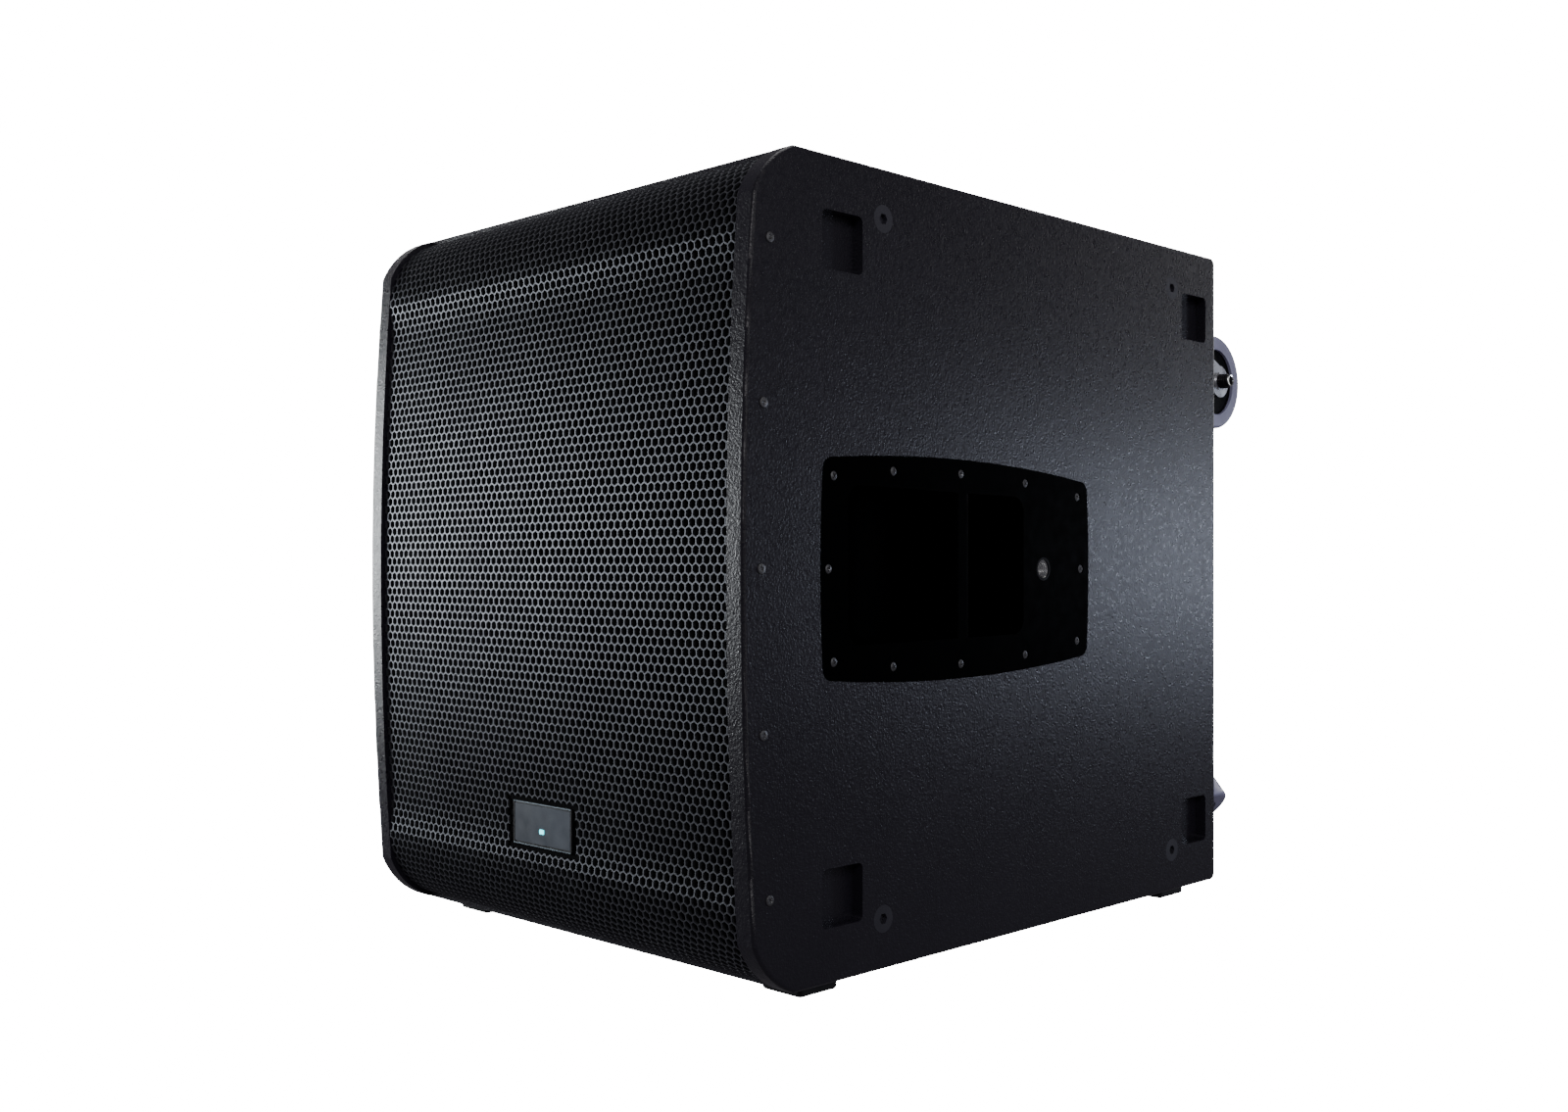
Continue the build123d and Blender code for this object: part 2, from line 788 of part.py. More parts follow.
def foot_screws():
    """One screw in each foot, up into the bottom board."""
    with BuildPart() as group:
        with BuildSketch(Plane.XY.offset(foot_recess - head_thickness)):
            with Locations(*foot_points):
                Circle(foot_recess_radius - 1)
        extrude(amount=head_thickness)
        with BuildSketch(Plane.XY.offset(foot_recess)):
            with Locations(*foot_points):
                Circle(recess_screw_radius)
        extrude(amount=foot_screw_length)
    return group


def rigging_plugs():
    """Flush hex-socket screws that close the eight flying points."""
    with BuildPart() as group:
        for side in (-1, 1):
            outer = Plane.YZ.offset(side * width / 2)
            with BuildSketch(outer):
                with Locations(*plug_points):
                    Circle(plug_head_radius)
            extrude(amount=-side * plug_head)
            with BuildSketch(outer):
                with Locations(*plug_points):
                    Circle(plug_shank_radius)
            extrude(amount=-side * (panel + nut_plate + 1))
            with BuildSketch(outer):
                with Locations(*plug_points):
                    RegularPolygon(plug_socket_flats / 2, 6, major_radius=False)
            extrude(amount=-side * (plug_head - 1), mode=Mode.SUBTRACT)
    return group


def rigging_nuts():
    """Threaded steel plates behind the flying points."""
    with BuildPart() as group:
        for side in (-1, 1):
            with BuildSketch(Plane.YZ.offset(side * inner_x)):
                with Locations(*plug_points):
                    Rectangle(nut_plate_size, nut_plate_size)
                    Circle(plug_shank_radius + screw_clearance, mode=Mode.SUBTRACT)
            extrude(amount=-side * nut_plate)
    return group


# ---- woofer ------------------------------------------------------------------------------------
woofer_back_y = baffle_y + basket_depth
cone_edge_y = baffle_y + cone_edge_set_back
cone_root_radius = coil_inner_radius + coil_wall
cone_root_y = cone_edge_y + cone_rise
coil_start_y = cone_root_y - 2
spider_y = cone_root_y + 12
basket_body_radius = woofer_cut_radius - 2
terminal_z = woofer_z - basket_throat_radius - terminal_height


def turned(points):
    """A piece turned about the woofer's axis from one (radius, y) section."""
    with BuildPart() as piece:
        with BuildSketch(woofer_plane):
            Polygon(*points, align=None)
        revolve(axis=woofer_axis)
    return piece


def woofer_basket():
    """Cast frame: mounting flange, conical cage with windows, spider shelf, rear seat."""
    rim_y = baffle_back_y
    shelf_y = spider_y + spider_wall
    cage_slope = (basket_body_radius - basket_throat_radius) / (woofer_back_y - rim_y)
    with BuildPart() as piece:
        with BuildSketch(woofer_plane):
            Polygon(
                (basket_body_radius - basket_wall, baffle_y - woofer_flange),
                (woofer_frame_radius, baffle_y - woofer_flange),
                (woofer_frame_radius, baffle_y),
                (basket_body_radius, baffle_y),
                (basket_body_radius, rim_y),
                (basket_throat_radius, woofer_back_y),
                (coil_inner_radius + 12, woofer_back_y),
                (coil_inner_radius + 12, woofer_back_y - basket_wall),
                (basket_throat_radius - basket_wall, woofer_back_y - basket_wall),
                (basket_body_radius - basket_wall, rim_y),
                align=None,
            )
        revolve(axis=woofer_axis)
        cage_start = rim_y + 8
        cage_end = woofer_back_y - 14
        with BuildSketch(Plane.XZ.offset(-cage_end)):
            with Locations((0, woofer_z)):
                with PolarLocations(0, spoke_count, start_angle=90):
                    half_gap = woofer_frame_radius * spoke_window_slope
                    Polygon(
                        (0, 0),
                        (woofer_frame_radius, half_gap),
                        (woofer_frame_radius, -half_gap),
                        align=None,
                    )
                Circle(basket_throat_radius - basket_wall - 4, mode=Mode.SUBTRACT)
        extrude(amount=cage_end - cage_start, mode=Mode.SUBTRACT)
        with BuildSketch(woofer_plane):
            shelf_reach = basket_body_radius - cage_slope * (shelf_y - rim_y) - 2
            Polygon(*ring(spider_outer_radius - 8, shelf_reach, shelf_y, shelf_y + 5), align=None)
        revolve(axis=woofer_axis)
        with BuildSketch(Plane.XZ.offset(-woofer_back_y)):
            with Locations((0, terminal_z + terminal_height / 2)):
                Rectangle(terminal_width, terminal_height)
        extrude(amount=woofer_back_y - cage_end)
        with BuildSketch(Plane.XZ.offset(-baffle_y)):
            with Locations((0, woofer_z)):
                with PolarLocations(woofer_screw_circle, woofer_screw_count, start_angle=22.5):
                    Circle(woofer_screw_radius + screw_clearance)
        extrude(amount=woofer_flange, mode=Mode.SUBTRACT)
    return piece


def woofer_magnet():
    """Top plate, ring magnet and back plate with its pole, bonded as one motor."""
    plate_bore = coil_inner_radius + coil_wall + coil_clearance
    pole_radius = coil_inner_radius - coil_clearance
    back = woofer_back_y + magnet_height
    return turned(
        [
            (plate_bore, woofer_back_y),
            (magnet_radius - 5, woofer_back_y),
            (magnet_radius - 5, woofer_back_y + 10),
            (magnet_radius, woofer_back_y + 10),
            (magnet_radius, back - 12),
            (magnet_radius - 5, back - 12),
            (magnet_radius - 5, back),
            (0, back),
            (0, woofer_back_y - 2),
            (pole_radius, woofer_back_y - 2),
            (pole_radius, back - 12),
            (magnet_radius * 0.56, back - 12),
            (magnet_radius * 0.56, woofer_back_y + 10),
            (plate_bore, woofer_back_y + 10),
        ]
    )


def woofer_cone():
    """Paper cone shell."""
    return turned(
        [
            (cone_root_radius, cone_root_y),
            (cone_edge_radius, cone_edge_y),
            (cone_edge_radius, cone_edge_y + cone_wall),
            (cone_root_radius, cone_root_y + cone_wall),
        ]
    )


def woofer_surround():
    """Half-roll rubber surround from the cone's edge to the frame."""
    inner = cone_edge_radius + joint_gap
    land = basket_body_radius - basket_wall - joint_gap
    middle = (inner + land) / 2
    roll = surround_roll
    with BuildPart() as piece:
        with BuildSketch(woofer_plane):
            with BuildLine():
                outer_start = (middle - roll, cone_edge_y)
                outer_end = (middle + roll, cone_edge_y)
                Line((inner, cone_edge_y), outer_start)
                ThreePointArc(outer_start, (middle, cone_edge_y - roll), outer_end)
                Line(outer_end, (land, cone_edge_y))
                Line((land, cone_edge_y), (land, cone_edge_y + surround_wall))
                inner_end = (middle + roll - surround_wall, cone_edge_y + surround_wall)
                inner_start = (middle - roll + surround_wall, cone_edge_y + surround_wall)
                Line((land, cone_edge_y + surround_wall), inner_end)
                ThreePointArc(inner_end, (middle, cone_edge_y - roll + surround_wall), inner_start)
                Line(inner_start, (inner, cone_edge_y + surround_wall))
                Line((inner, cone_edge_y + surround_wall), (inner, cone_edge_y))
            make_face()
        revolve(axis=woofer_axis)
    return piece


def woofer_dust_cap():
    """Shallow dome bonded to the cone over the coil."""
    slope = cone_rise / (cone_edge_radius - cone_root_radius)
    rim_y = cone_root_y - slope * (dust_cap_radius - cone_root_radius) - 0.3
    crown_y = rim_y - dust_cap_rise
    dome_radius = (dust_cap_radius**2 + dust_cap_rise**2) / (2 * dust_cap_rise)
    half_y = crown_y + dome_radius - sqrt(dome_radius**2 - (dust_cap_radius / 2) ** 2)
    with BuildPart() as piece:
        with BuildSketch(woofer_plane):
            with BuildLine():
                rim = (dust_cap_radius, rim_y)
                lip = (dust_cap_radius, rim_y - dust_cap_wall)
                ThreePointArc((0, crown_y), (dust_cap_radius / 2, half_y), rim)
                Line(rim, lip)
                half_front = (dust_cap_radius / 2, half_y - dust_cap_wall)
                ThreePointArc(lip, half_front, (0, crown_y - dust_cap_wall))
                Line((0, crown_y - dust_cap_wall), (0, crown_y))
            make_face()
        revolve(axis=woofer_axis)
    return piece


def voice_coil():
    """Coil former with its winding, running in the magnet gap."""
    outer = coil_inner_radius + coil_wall
    return turned(ring(coil_inner_radius, outer - joint_gap, coil_start_y, coil_start_y + coil_length))


def woofer_spider():
    """Corrugated centring ring between the coil former and the frame's shelf."""
    inner = coil_inner_radius + coil_wall + joint_gap
    waves = 5
    step = (spider_outer_radius - inner) / (2 * waves)
    front = [(inner + i * step, spider_y - (2.0 if i % 2 else 0.0)) for i in range(2 * waves + 1)]
    back = [(r, y + spider_wall) for r, y in reversed(front)]
    return turned(front + back)


def woofer_screws():
    """Eight frame screws into the baffle."""
    with BuildPart() as group:
        with BuildSketch(Plane.XZ.offset(-(baffle_y - woofer_flange))):
            with Locations((0, woofer_z)):
                with PolarLocations(woofer_screw_circle, woofer_screw_count, start_angle=22.5):
                    Circle(woofer_screw_head)
        extrude(amount=head_thickness + 1)
        with BuildSketch(Plane.XZ.offset(-(baffle_y - woofer_flange))):
            with Locations((0, woofer_z)):
                with PolarLocations(woofer_screw_circle, woofer_screw_count, start_angle=22.5):
                    Circle(woofer_screw_radius)
        extrude(amount=-(woofer_flange + baffle - 2))
    return group


def port_tube(side):
    """Moulded bass port with a front flange and a slightly flared mouth."""
    start = baffle_y
    axis = Axis((side * port_x, 0, port_z), (0, 1, 0))
    plane = Plane(origin=(side * port_x, 0, port_z), x_dir=(1, 0, 0), z_dir=(0, 0, 1))
    with BuildPart() as piece:
        with BuildSketch(plane):
            Polygon(
                (port_radius + 4, start - port_flange),
                (port_flange_radius, start - port_flange),
                (port_flange_radius, start),
                (port_radius + port_wall, start),
                (port_radius + port_wall, start + port_length),
                (port_radius, start + port_length),
                (port_radius, start + 10),
                align=None,
            )
        revolve(axis=axis)
    return piece


# ---- amplifier -----------------------------------------------------------------------------------
amp_screw_rows = (-1, -0.33, 0.33, 1)


def amp_screw_points():
    """Screws along both long edges of the amplifier panel, in (x, z)."""
    reach = amp_height / 2 - amp_border / 2
    edge = amp_width / 2 - amp_border / 2
    return [(side * edge, z_mid + row * reach) for side in (-1, 1) for row in amp_screw_rows]


def caster_centres():
    """Swivel axes of the four casters, in (x, z)."""
    x = width / 2 - caster_inset
    high = z_top - caster_end_inset
    low = z_bottom + caster_end_inset
    return {
        "upper_right": (x, high),
        "lower_right": (x, low),
        "upper_left": (-x, high),
        "lower_left": (-x, low),
    }


def caster_screw_points():
    """Four screws round each caster plate, in (x, z)."""
    half = caster_screw_spacing / 2
    return [
        (x + i * half, z + j * half)
        for x, z in caster_centres().values()
        for i in (-1, 1)
        for j in (-1, 1)
    ]


def panel_plane(distance=0.0):
    """Plane of the amplifier panel's outer face, moved outwards by distance."""
    return Plane.XZ.offset(-y_back - distance)


def amp_panel():
    """Aluminium face plate with the openings of its controls and sockets."""
    with BuildPart() as piece:
        with BuildSketch(panel_plane()):
            with Locations((0, z_mid)):
                RectangleRounded(amp_width, amp_height, amp_corner)
            with Locations(*amp_screw_points()):
                Circle(recess_screw_radius + screw_clearance, mode=Mode.SUBTRACT)
            with Locations((knob_x, knob_z)):
                Circle(knob_shaft_radius + control_gap, mode=Mode.SUBTRACT)
            with Locations((button_x, button_z)):
                Circle(button_radius + control_gap, mode=Mode.SUBTRACT)
            with Locations((xlr_input_x, xlr_z), (xlr_link_x, xlr_z)):
                Circle(xlr_barrel_radius + control_gap, mode=Mode.SUBTRACT)
            with Locations((inlet_x, inlet_z)):
                Circle(inlet_radius + control_gap, mode=Mode.SUBTRACT)
            with Locations((rocker_x, rocker_z)):
                Rectangle(
                    rocker_width + 2 * rocker_slot_gap,
                    rocker_height + 2 * rocker_slot_gap,
                    mode=Mode.SUBTRACT,
                )
        extrude(amount=amp_sheet)
    return piece


housing_y = y_back - amp_sheet
housing_half_x = amp_width / 2 - amp_border - housing_inset
housing_half_z = amp_height / 2 - amp_border - housing_inset


def amp_housing():
    """Folded steel tray that closes the amplifier off from the cabinet's air."""
    with BuildPart() as piece:
        with BuildSketch(Plane.XZ.offset(-housing_y)):
            with Locations((0, z_mid)):
                Rectangle(2 * housing_half_x, 2 * housing_half_z)
        extrude(amount=housing_depth)
        with BuildSketch(Plane.XZ.offset(-housing_y)):
            with Locations((0, z_mid)):
                Rectangle(2 * (housing_half_x - housing_wall), 2 * (housing_half_z - housing_wall))
        extrude(amount=housing_depth - housing_wall, mode=Mode.SUBTRACT)
    return piece


def amp_board():
    """Circuit board on standoffs with transformer, capacitors and output filter."""
    tray_floor_y = housing_y - housing_depth + housing_wall
    board_y = tray_floor_y + standoff_height
    half_x = housing_half_x - housing_wall - board_margin
    half_z = housing_half_z - housing_wall - board_margin
    parts_plane = Plane.XZ.offset(-board_y - board_sheet)
    with BuildPart() as piece:
        with BuildSketch(Plane.XZ.offset(-tray_floor_y)):
            with Locations((0, z_mid)):
                with GridLocations(2 * (half_x - standoff_inset), 2 * (half_z - standoff_inset), 2, 2):
                    Circle(standoff_radius)
        extrude(amount=-standoff_height)
        with BuildSketch(Plane.XZ.offset(-board_y)):
            with Locations((0, z_mid)):
                Rectangle(2 * half_x, 2 * half_z)
        extrude(amount=-board_sheet)
        with BuildSketch(parts_plane):
            with Locations((toroid_x, z_mid + toroid_raise)):
                Circle(toroid_radius)
                Circle(toroid_bore, mode=Mode.SUBTRACT)
        extrude(amount=-toroid_height)
        with BuildSketch(parts_plane):
            with Locations((capacitors_x, z_mid + capacitors_raise)):
                with GridLocations(capacitor_pitch_x, capacitor_pitch_z, 2, 2):
                    Circle(capacitor_radius)
        extrude(amount=-capacitor_height)
        with BuildSketch(parts_plane):
            with Locations((filters_x, z_mid - filters_drop)):
                with GridLocations(filter_pitch, filter_pitch, 2, 2):
                    Rectangle(filter_width, filter_height)
        extrude(amount=-filter_rise)
    return piece


def amp_heatsink():
    """Finned aluminium cooler on the outside of the panel."""
    pitch = (heatsink_width - heatsink_fin_width) / (heatsink_fins - 1)
    with BuildPart() as piece:
        with BuildSketch(panel_plane()):
            with Locations((0, heatsink_z)):
                Rectangle(heatsink_width, heatsink_height)
        extrude(amount=-heatsink_base)
        with BuildSketch(panel_plane(heatsink_base)):
            with Locations((0, heatsink_z)):
                with GridLocations(pitch, 1, heatsink_fins, 1):
                    Rectangle(heatsink_fin_width, heatsink_height)
        extrude(amount=-heatsink_fin)
    return piece


def amp_display():
    """Framed display window on the panel."""
    with BuildPart() as piece:
        with BuildSketch(panel_plane()):
            with Locations((display_x, display_z)):
                RectangleRounded(display_width, display_height, display_corner)
        extrude(amount=-display_proud)
        with BuildSketch(panel_plane(display_proud)):
            with Locations((display_x, display_z)):
                Rectangle(display_width - 2 * display_border, display_height - 2 * display_border)
        extrude(amount=display_recess, mode=Mode.SUBTRACT)
    return piece


def encoder_knob():
    """Knob of the menu encoder, with its shaft through the panel."""
    with BuildPart() as piece:
        with BuildSketch(panel_plane(knob_gap)):
            with Locations((knob_x, knob_z)):
                Circle(knob_radius)
        extrude(amount=-knob_height)
        rim = piece.edges().filter_by(GeomType.CIRCLE).group_by(Axis.Y)[-1]
        fillet(rim, radius=knob_rim_round)
        with BuildSketch(panel_plane(knob_gap)):
            with Locations((knob_x, knob_z)):
                Circle(knob_shaft_radius)
        extrude(amount=knob_gap + amp_sheet + knob_shaft_reach)
    return piece


def mode_button():
    """Round push button beside the knob."""
    with BuildPart() as piece:
        with BuildSketch(panel_plane(button_proud)):
            with Locations((button_x, button_z)):
                Circle(button_radius)
        extrude(amount=button_proud + amp_sheet + button_reach)
        rim = piece.edges().filter_by(GeomType.CIRCLE).group_by(Axis.Y)[-1]
        fillet(rim, radius=button_rim_round)
    return piece


def panel_socket(x, with_pins):
    """Flanged round signal socket: three pins in its mouth, or a female insert with a latch."""
    with BuildPart() as piece:
        with BuildSketch(panel_plane()):
            with Locations((x, xlr_z)):
                RectangleRounded(xlr_width, xlr_height, xlr_flange_corner)
        extrude(amount=-xlr_flange)
        with BuildSketch(panel_plane()):
            with Locations((x, xlr_z)):
                Circle(xlr_barrel_radius)
        extrude(amount=xlr_depth)
        with BuildSketch(panel_plane(xlr_flange)):
            with Locations((x, xlr_z)):
                Circle(xlr_mouth_radius)
                if not with_pins:
                    Circle(xlr_mouth_radius - xlr_ring_gap, mode=Mode.SUBTRACT)
        extrude(amount=xlr_flange + xlr_depth - xlr_end_wall, mode=Mode.SUBTRACT)
        if with_pins:
            with BuildSketch(panel_plane(xlr_end_wall - xlr_depth)):
                with Locations((x, xlr_z)):
                    with PolarLocations(contact_circle, contact_count, start_angle=90):
                        Circle(pin_radius)
            extrude(amount=xlr_end_wall + pin_recess - xlr_depth)
        else:
            with BuildSketch(panel_plane(xlr_flange)):
                with Locations((x, xlr_z)):
                    with PolarLocations(contact_circle, contact_count, start_angle=90):
                        Circle(contact_radius)
            extrude(amount=contact_depth, mode=Mode.SUBTRACT)
            with BuildSketch(panel_plane(xlr_flange)):
                with Locations((x, xlr_z + xlr_height / 2)):
                    Rectangle(latch_width + 2 * control_gap, 2 * latch_notch)
            extrude(amount=xlr_flange, mode=Mode.SUBTRACT)
    return piece


def xlr_latch():
    """Release tab of the input socket, pressed towards the panel."""
    latch_z = xlr_z + xlr_height / 2 - latch_notch + latch_gap + latch_height / 2
    with BuildPart() as piece:
        with BuildSketch(panel_plane(xlr_flange + latch_travel)):
            with Locations((xlr_input_x, latch_z)):
                Rectangle(latch_width, latch_height)
        extrude(amount=xlr_flange - latch_gap)
    return piece


def power_inlet():
    """Round locking mains inlet with its flange and contact block."""
    with BuildPart() as piece:
        with BuildSketch(panel_plane()):
            with Locations((inlet_x, inlet_z)):
                RectangleRounded(
                    2 * (inlet_radius + inlet_flange_side),
                    2 * (inlet_radius + inlet_flange_end),
                    inlet_corner,
                )
        extrude(amount=-xlr_flange)
        with BuildSketch(panel_plane()):
            with Locations((inlet_x, inlet_z)):
                Circle(inlet_radius)
        extrude(amount=inlet_depth)
        with BuildSketch(panel_plane(xlr_flange)):
            with Locations((inlet_x, inlet_z)):
                Circle(inlet_radius - inlet_wall)
        extrude(amount=xlr_flange + inlet_depth - inlet_end_wall, mode=Mode.SUBTRACT)
        with BuildSketch(panel_plane(inlet_end_wall - inlet_depth)):
            with Locations((inlet_x, inlet_z)):
                RectangleRounded(block_width, block_height, block_corner)
        extrude(amount=inlet_end_wall + block_recess - inlet_depth)
    return piece


rocker_axis = Axis((rocker_x, y_back - rocker_pivot_depth, rocker_z), (1, 0, 0))


def power_rocker():
    """Rocker of the mains switch, pivoting on a level line behind the panel's face."""
    half_front = rocker_height / 2 - 2 * rocker_taper
    half_back = half_front - rocker_taper
    with BuildPart() as piece:
        with BuildSketch(Plane.YZ.offset(rocker_x - rocker_width / 2 + rocker_taper)):
            Polygon(
                (y_back - rocker_body_depth, rocker_z - half_back),
                (y_back + rocker_proud, rocker_z - half_front),
                (y_back + rocker_dip, rocker_z),
                (y_back + rocker_proud, rocker_z + half_front),
                (y_back - rocker_body_depth, rocker_z + half_back),
                align=None,
            )
        extrude(amount=rocker_width - 2 * rocker_taper)
    return piece


def amp_screws():
    """Eight screws of the amplifier panel."""
    with BuildPart() as group:
        with BuildSketch(panel_plane()):
            with Locations(*amp_screw_points()):
                Circle(recess_screw_head)
        extrude(amount=-head_thickness)
        with BuildSketch(panel_plane()):
            with Locations(*amp_screw_points()):
                Circle(recess_screw_radius)
        extrude(amount=panel - 1)
    return group


# ---- casters -------------------------------------------------------------------------------------
race_y = y_back + caster_plate
fork_y = race_y + race_height + swivel_gap
wheel_y = y_back + caster_height - wheel_radius
leg_inner = wheel_width / 2 + wheel_side_gap
leg_outer = leg_inner + fork_sheet


def caster_plates():
    """Four mounting plates, each with its swivel race and king pin."""
    centres = list(caster_centres().values())
    with BuildPart() as group:
        with BuildSketch(panel_plane()):
            with Locations(*centres):
                RectangleRounded(caster_plate_size, caster_plate_size, caster_plate_corner)
        extrude(amount=-caster_plate)
        with BuildSketch(panel_plane()):
            with Locations(*caster_screw_points()):
                Circle(recess_screw_radius + screw_clearance)
        extrude(amount=-caster_plate, mode=Mode.SUBTRACT)
        with BuildSketch(panel_plane(caster_plate)):
            with Locations(*centres):
                Circle(race_radius)
        extrude(amount=-race_height)
        race_rims = group.edges().filter_by(GeomType.CIRCLE).group_by(Axis.Y)[-1]
        fillet(race_rims, radius=race_round)
        with BuildSketch(panel_plane(caster_plate + race_height)):
            with Locations(*centres):
                Circle(kingpin_radius)
        extrude(amount=-(swivel_gap + fork_sheet + swivel_gap))
        with BuildSketch(panel_plane(caster_plate + race_height + fork_sheet + 2 * swivel_gap)):
            with Locations(*centres):
                Circle(kingpin_radius + kingpin_head_overlap)
        extrude(amount=-kingpin_head)
    return group


def caster_screws():
    """Sixteen screws that hold the caster plates."""
    with BuildPart() as group:
        with BuildSketch(panel_plane(caster_plate)):
            with Locations(*caster_screw_points()):
                Circle(recess_screw_head)
        extrude(amount=-head_thickness)
        with BuildSketch(panel_plane(caster_plate)):
            with Locations(*caster_screw_points()):
                Circle(recess_screw_radius)
        extrude(amount=caster_plate + panel - 1)
    return group


def tilted(piece, axis, angle):
    """The same piece turned about an axis."""
    with BuildPart() as result:
        add(piece.part.rotate(axis, angle))
    return result


def caster_fork(x, z):
    """Swivel fork hanging straight down, with its axle bolt and nut as own solids."""
    axle_z = z - caster_trail
    with BuildPart() as fork:
        with BuildSketch(Plane.XZ.offset(-fork_y)):
            with Locations((x, z)):
                Circle(race_radius)
            with Locations((x, z + (leg_root - leg_foot) / 2)):
                Rectangle(2 * leg_outer, leg_root + leg_foot)
            with Locations((x, z)):
                Circle(kingpin_radius + swivel_gap, mode=Mode.SUBTRACT)
        extrude(amount=-fork_sheet)
        for side in (-1, 1):
            with BuildSketch(Plane.YZ.offset(x + side * leg_inner)):
                Polygon(
                    (fork_y, z + leg_root),
                    (fork_y, z - leg_foot),
                    (wheel_y, axle_z - fork_tip_radius),
                    (wheel_y, axle_z + fork_tip_radius),
                    align=None,
                )
                with Locations((wheel_y, axle_z)):
                    Circle(fork_tip_radius)
                    Circle(axle_radius + joint_gap, mode=Mode.SUBTRACT)
            extrude(amount=side * fork_sheet)
    outward = 1 if x > 0 else -1
    with BuildPart() as axle:
        with BuildSketch(Plane.YZ.offset(x + outward * (wheel_width / 2 + axle_end))):
            with Locations((wheel_y, axle_z)):
                Circle(axle_radius)
        extrude(amount=-outward * (axle_end + wheel_width + axle_far_end))
        for side in (-1, 1):
            with BuildSketch(Plane.YZ.offset(x + side * (leg_outer + joint_gap))):
                with Locations((wheel_y, axle_z)):
                    Circle(nut_flats * 0.75)
            extrude(amount=side * washer_height)
            with BuildSketch(Plane.YZ.offset(x + side * (leg_outer + washer_height))):
                with Locations((wheel_y, axle_z)):
                    RegularPolygon(nut_flats / 2, 6, major_radius=False)
            extrude(amount=side * hex_height)
    with BuildPart() as group:
        add(fork.part)
        add(axle.part)
    return group


def caster_core(x, z):
    """Moulded wheel centre with its hub."""
    axle_z = z - caster_trail
    with BuildPart() as piece:
        with BuildSketch(Plane.YZ.offset(x - wheel_width / 2 + core_inset)):
            with Locations((wheel_y, axle_z)):
                Circle(core_radius)
        extrude(amount=wheel_width - 2 * core_inset)
        with BuildSketch(Plane.YZ.offset(x - wheel_width / 2)):
            with Locations((wheel_y, axle_z)):
                Circle(hub_radius)
        extrude(amount=wheel_width)
        with BuildSketch(Plane.YZ.offset(x - wheel_width / 2)):
            with Locations((wheel_y, axle_z)):
                Circle(axle_radius + axle_clearance)
        extrude(amount=wheel_width, mode=Mode.SUBTRACT)
    return piece


def caster_tyre(x, z):
    """Tread bonded round the wheel centre."""
    axle_z = z - caster_trail
    with BuildPart() as piece:
        with BuildSketch(Plane.YZ.offset(x - wheel_width / 2)):
            with Locations((wheel_y, axle_z)):
                Circle(wheel_radius)
                Circle(core_radius + joint_gap, mode=Mode.SUBTRACT)
        extrude(amount=wheel_width)
        rims = piece.edges().filter_by(GeomType.CIRCLE).filter_by(
            lambda e: abs(e.radius - wheel_radius) < joint_gap
        )
        fillet(rims, radius=tread_round)
    return piece


# ---- inside the cabinet ----------------------------------------------------------------------------
def acoustic_lining():
    """Damping pads on the walls behind the brace."""
    start = brace_y + panel + lining_run_margin
    end = back_panel_y - lining_run_margin
    run = end - start
    centre_y = (start + end) / 2
    pad_x = 2 * (inner_x - lining_side_margin)
    pad_z = z_ceiling - z_floor - 2 * lining_end_margin
    with BuildPart() as group:
        for z in (z_floor + lining_gap, z_ceiling - lining_gap - lining_thickness):
            with BuildSketch(Plane.XY.offset(z)):
                with Locations((0, centre_y)):
                    Rectangle(pad_x, run)
            extrude(amount=lining_thickness)
        for side in (-1, 1):
            with BuildSketch(Plane.YZ.offset(side * (inner_x - lining_gap))):
                with Locations((centre_y, z_mid)):
                    Rectangle(run, pad_z)
            extrude(amount=-side * lining_thickness)
    return group


lead_radius = 2.5
lead_share = 0.45
lead_x = 60.0
lead_z = 330.0


def lead_route():
    """Points of the speaker lead: back from the tray, under the magnet, up to the terminals."""
    start_y = y_back - amp_sheet - housing_depth
    end_y = woofer_back_y - 7
    return [
        Vector(lead_x, start_y, lead_z),
        Vector(lead_x, start_y - 40, lead_z),
        Vector(lead_x - 6, start_y - 88, lead_z - 24),
        Vector(lead_x - 18, start_y - 138, lead_z - 51),
        Vector(lead_x - 32, start_y - 192, lead_z - 72),
        Vector(lead_x - 46, start_y - 248, lead_z - 88),
        Vector(4, end_y + 107, terminal_z - 35),
        Vector(0, end_y + 58, terminal_z - 43),
        Vector(0, end_y + 14, terminal_z - 38),
        Vector(0, end_y, terminal_z - 17),
        Vector(0, end_y, terminal_z),
    ]


def speaker_leads():
    """Two-core lead from the amplifier tray to the woofer's terminals."""
    route = lead_route()
    radii = []
    for before, here, after in zip(route, route[1:], route[2:]):
        arriving, leaving = here - before, after - here
        half_turn = radians(arriving.get_angle(leaving)) / 2
        radii.append(lead_share * min(arriving.length, leaving.length) / tan(half_turn))
    print("lead radii", [round(r) for r in radii])
    with BuildPart() as piece:
        with BuildLine():
            FilletPolyline(*route, radius=radii)
        with BuildSketch(Plane(origin=route[0], z_dir=route[1] - route[0])):
            Circle(lead_radius)
        sweep()
    return piece


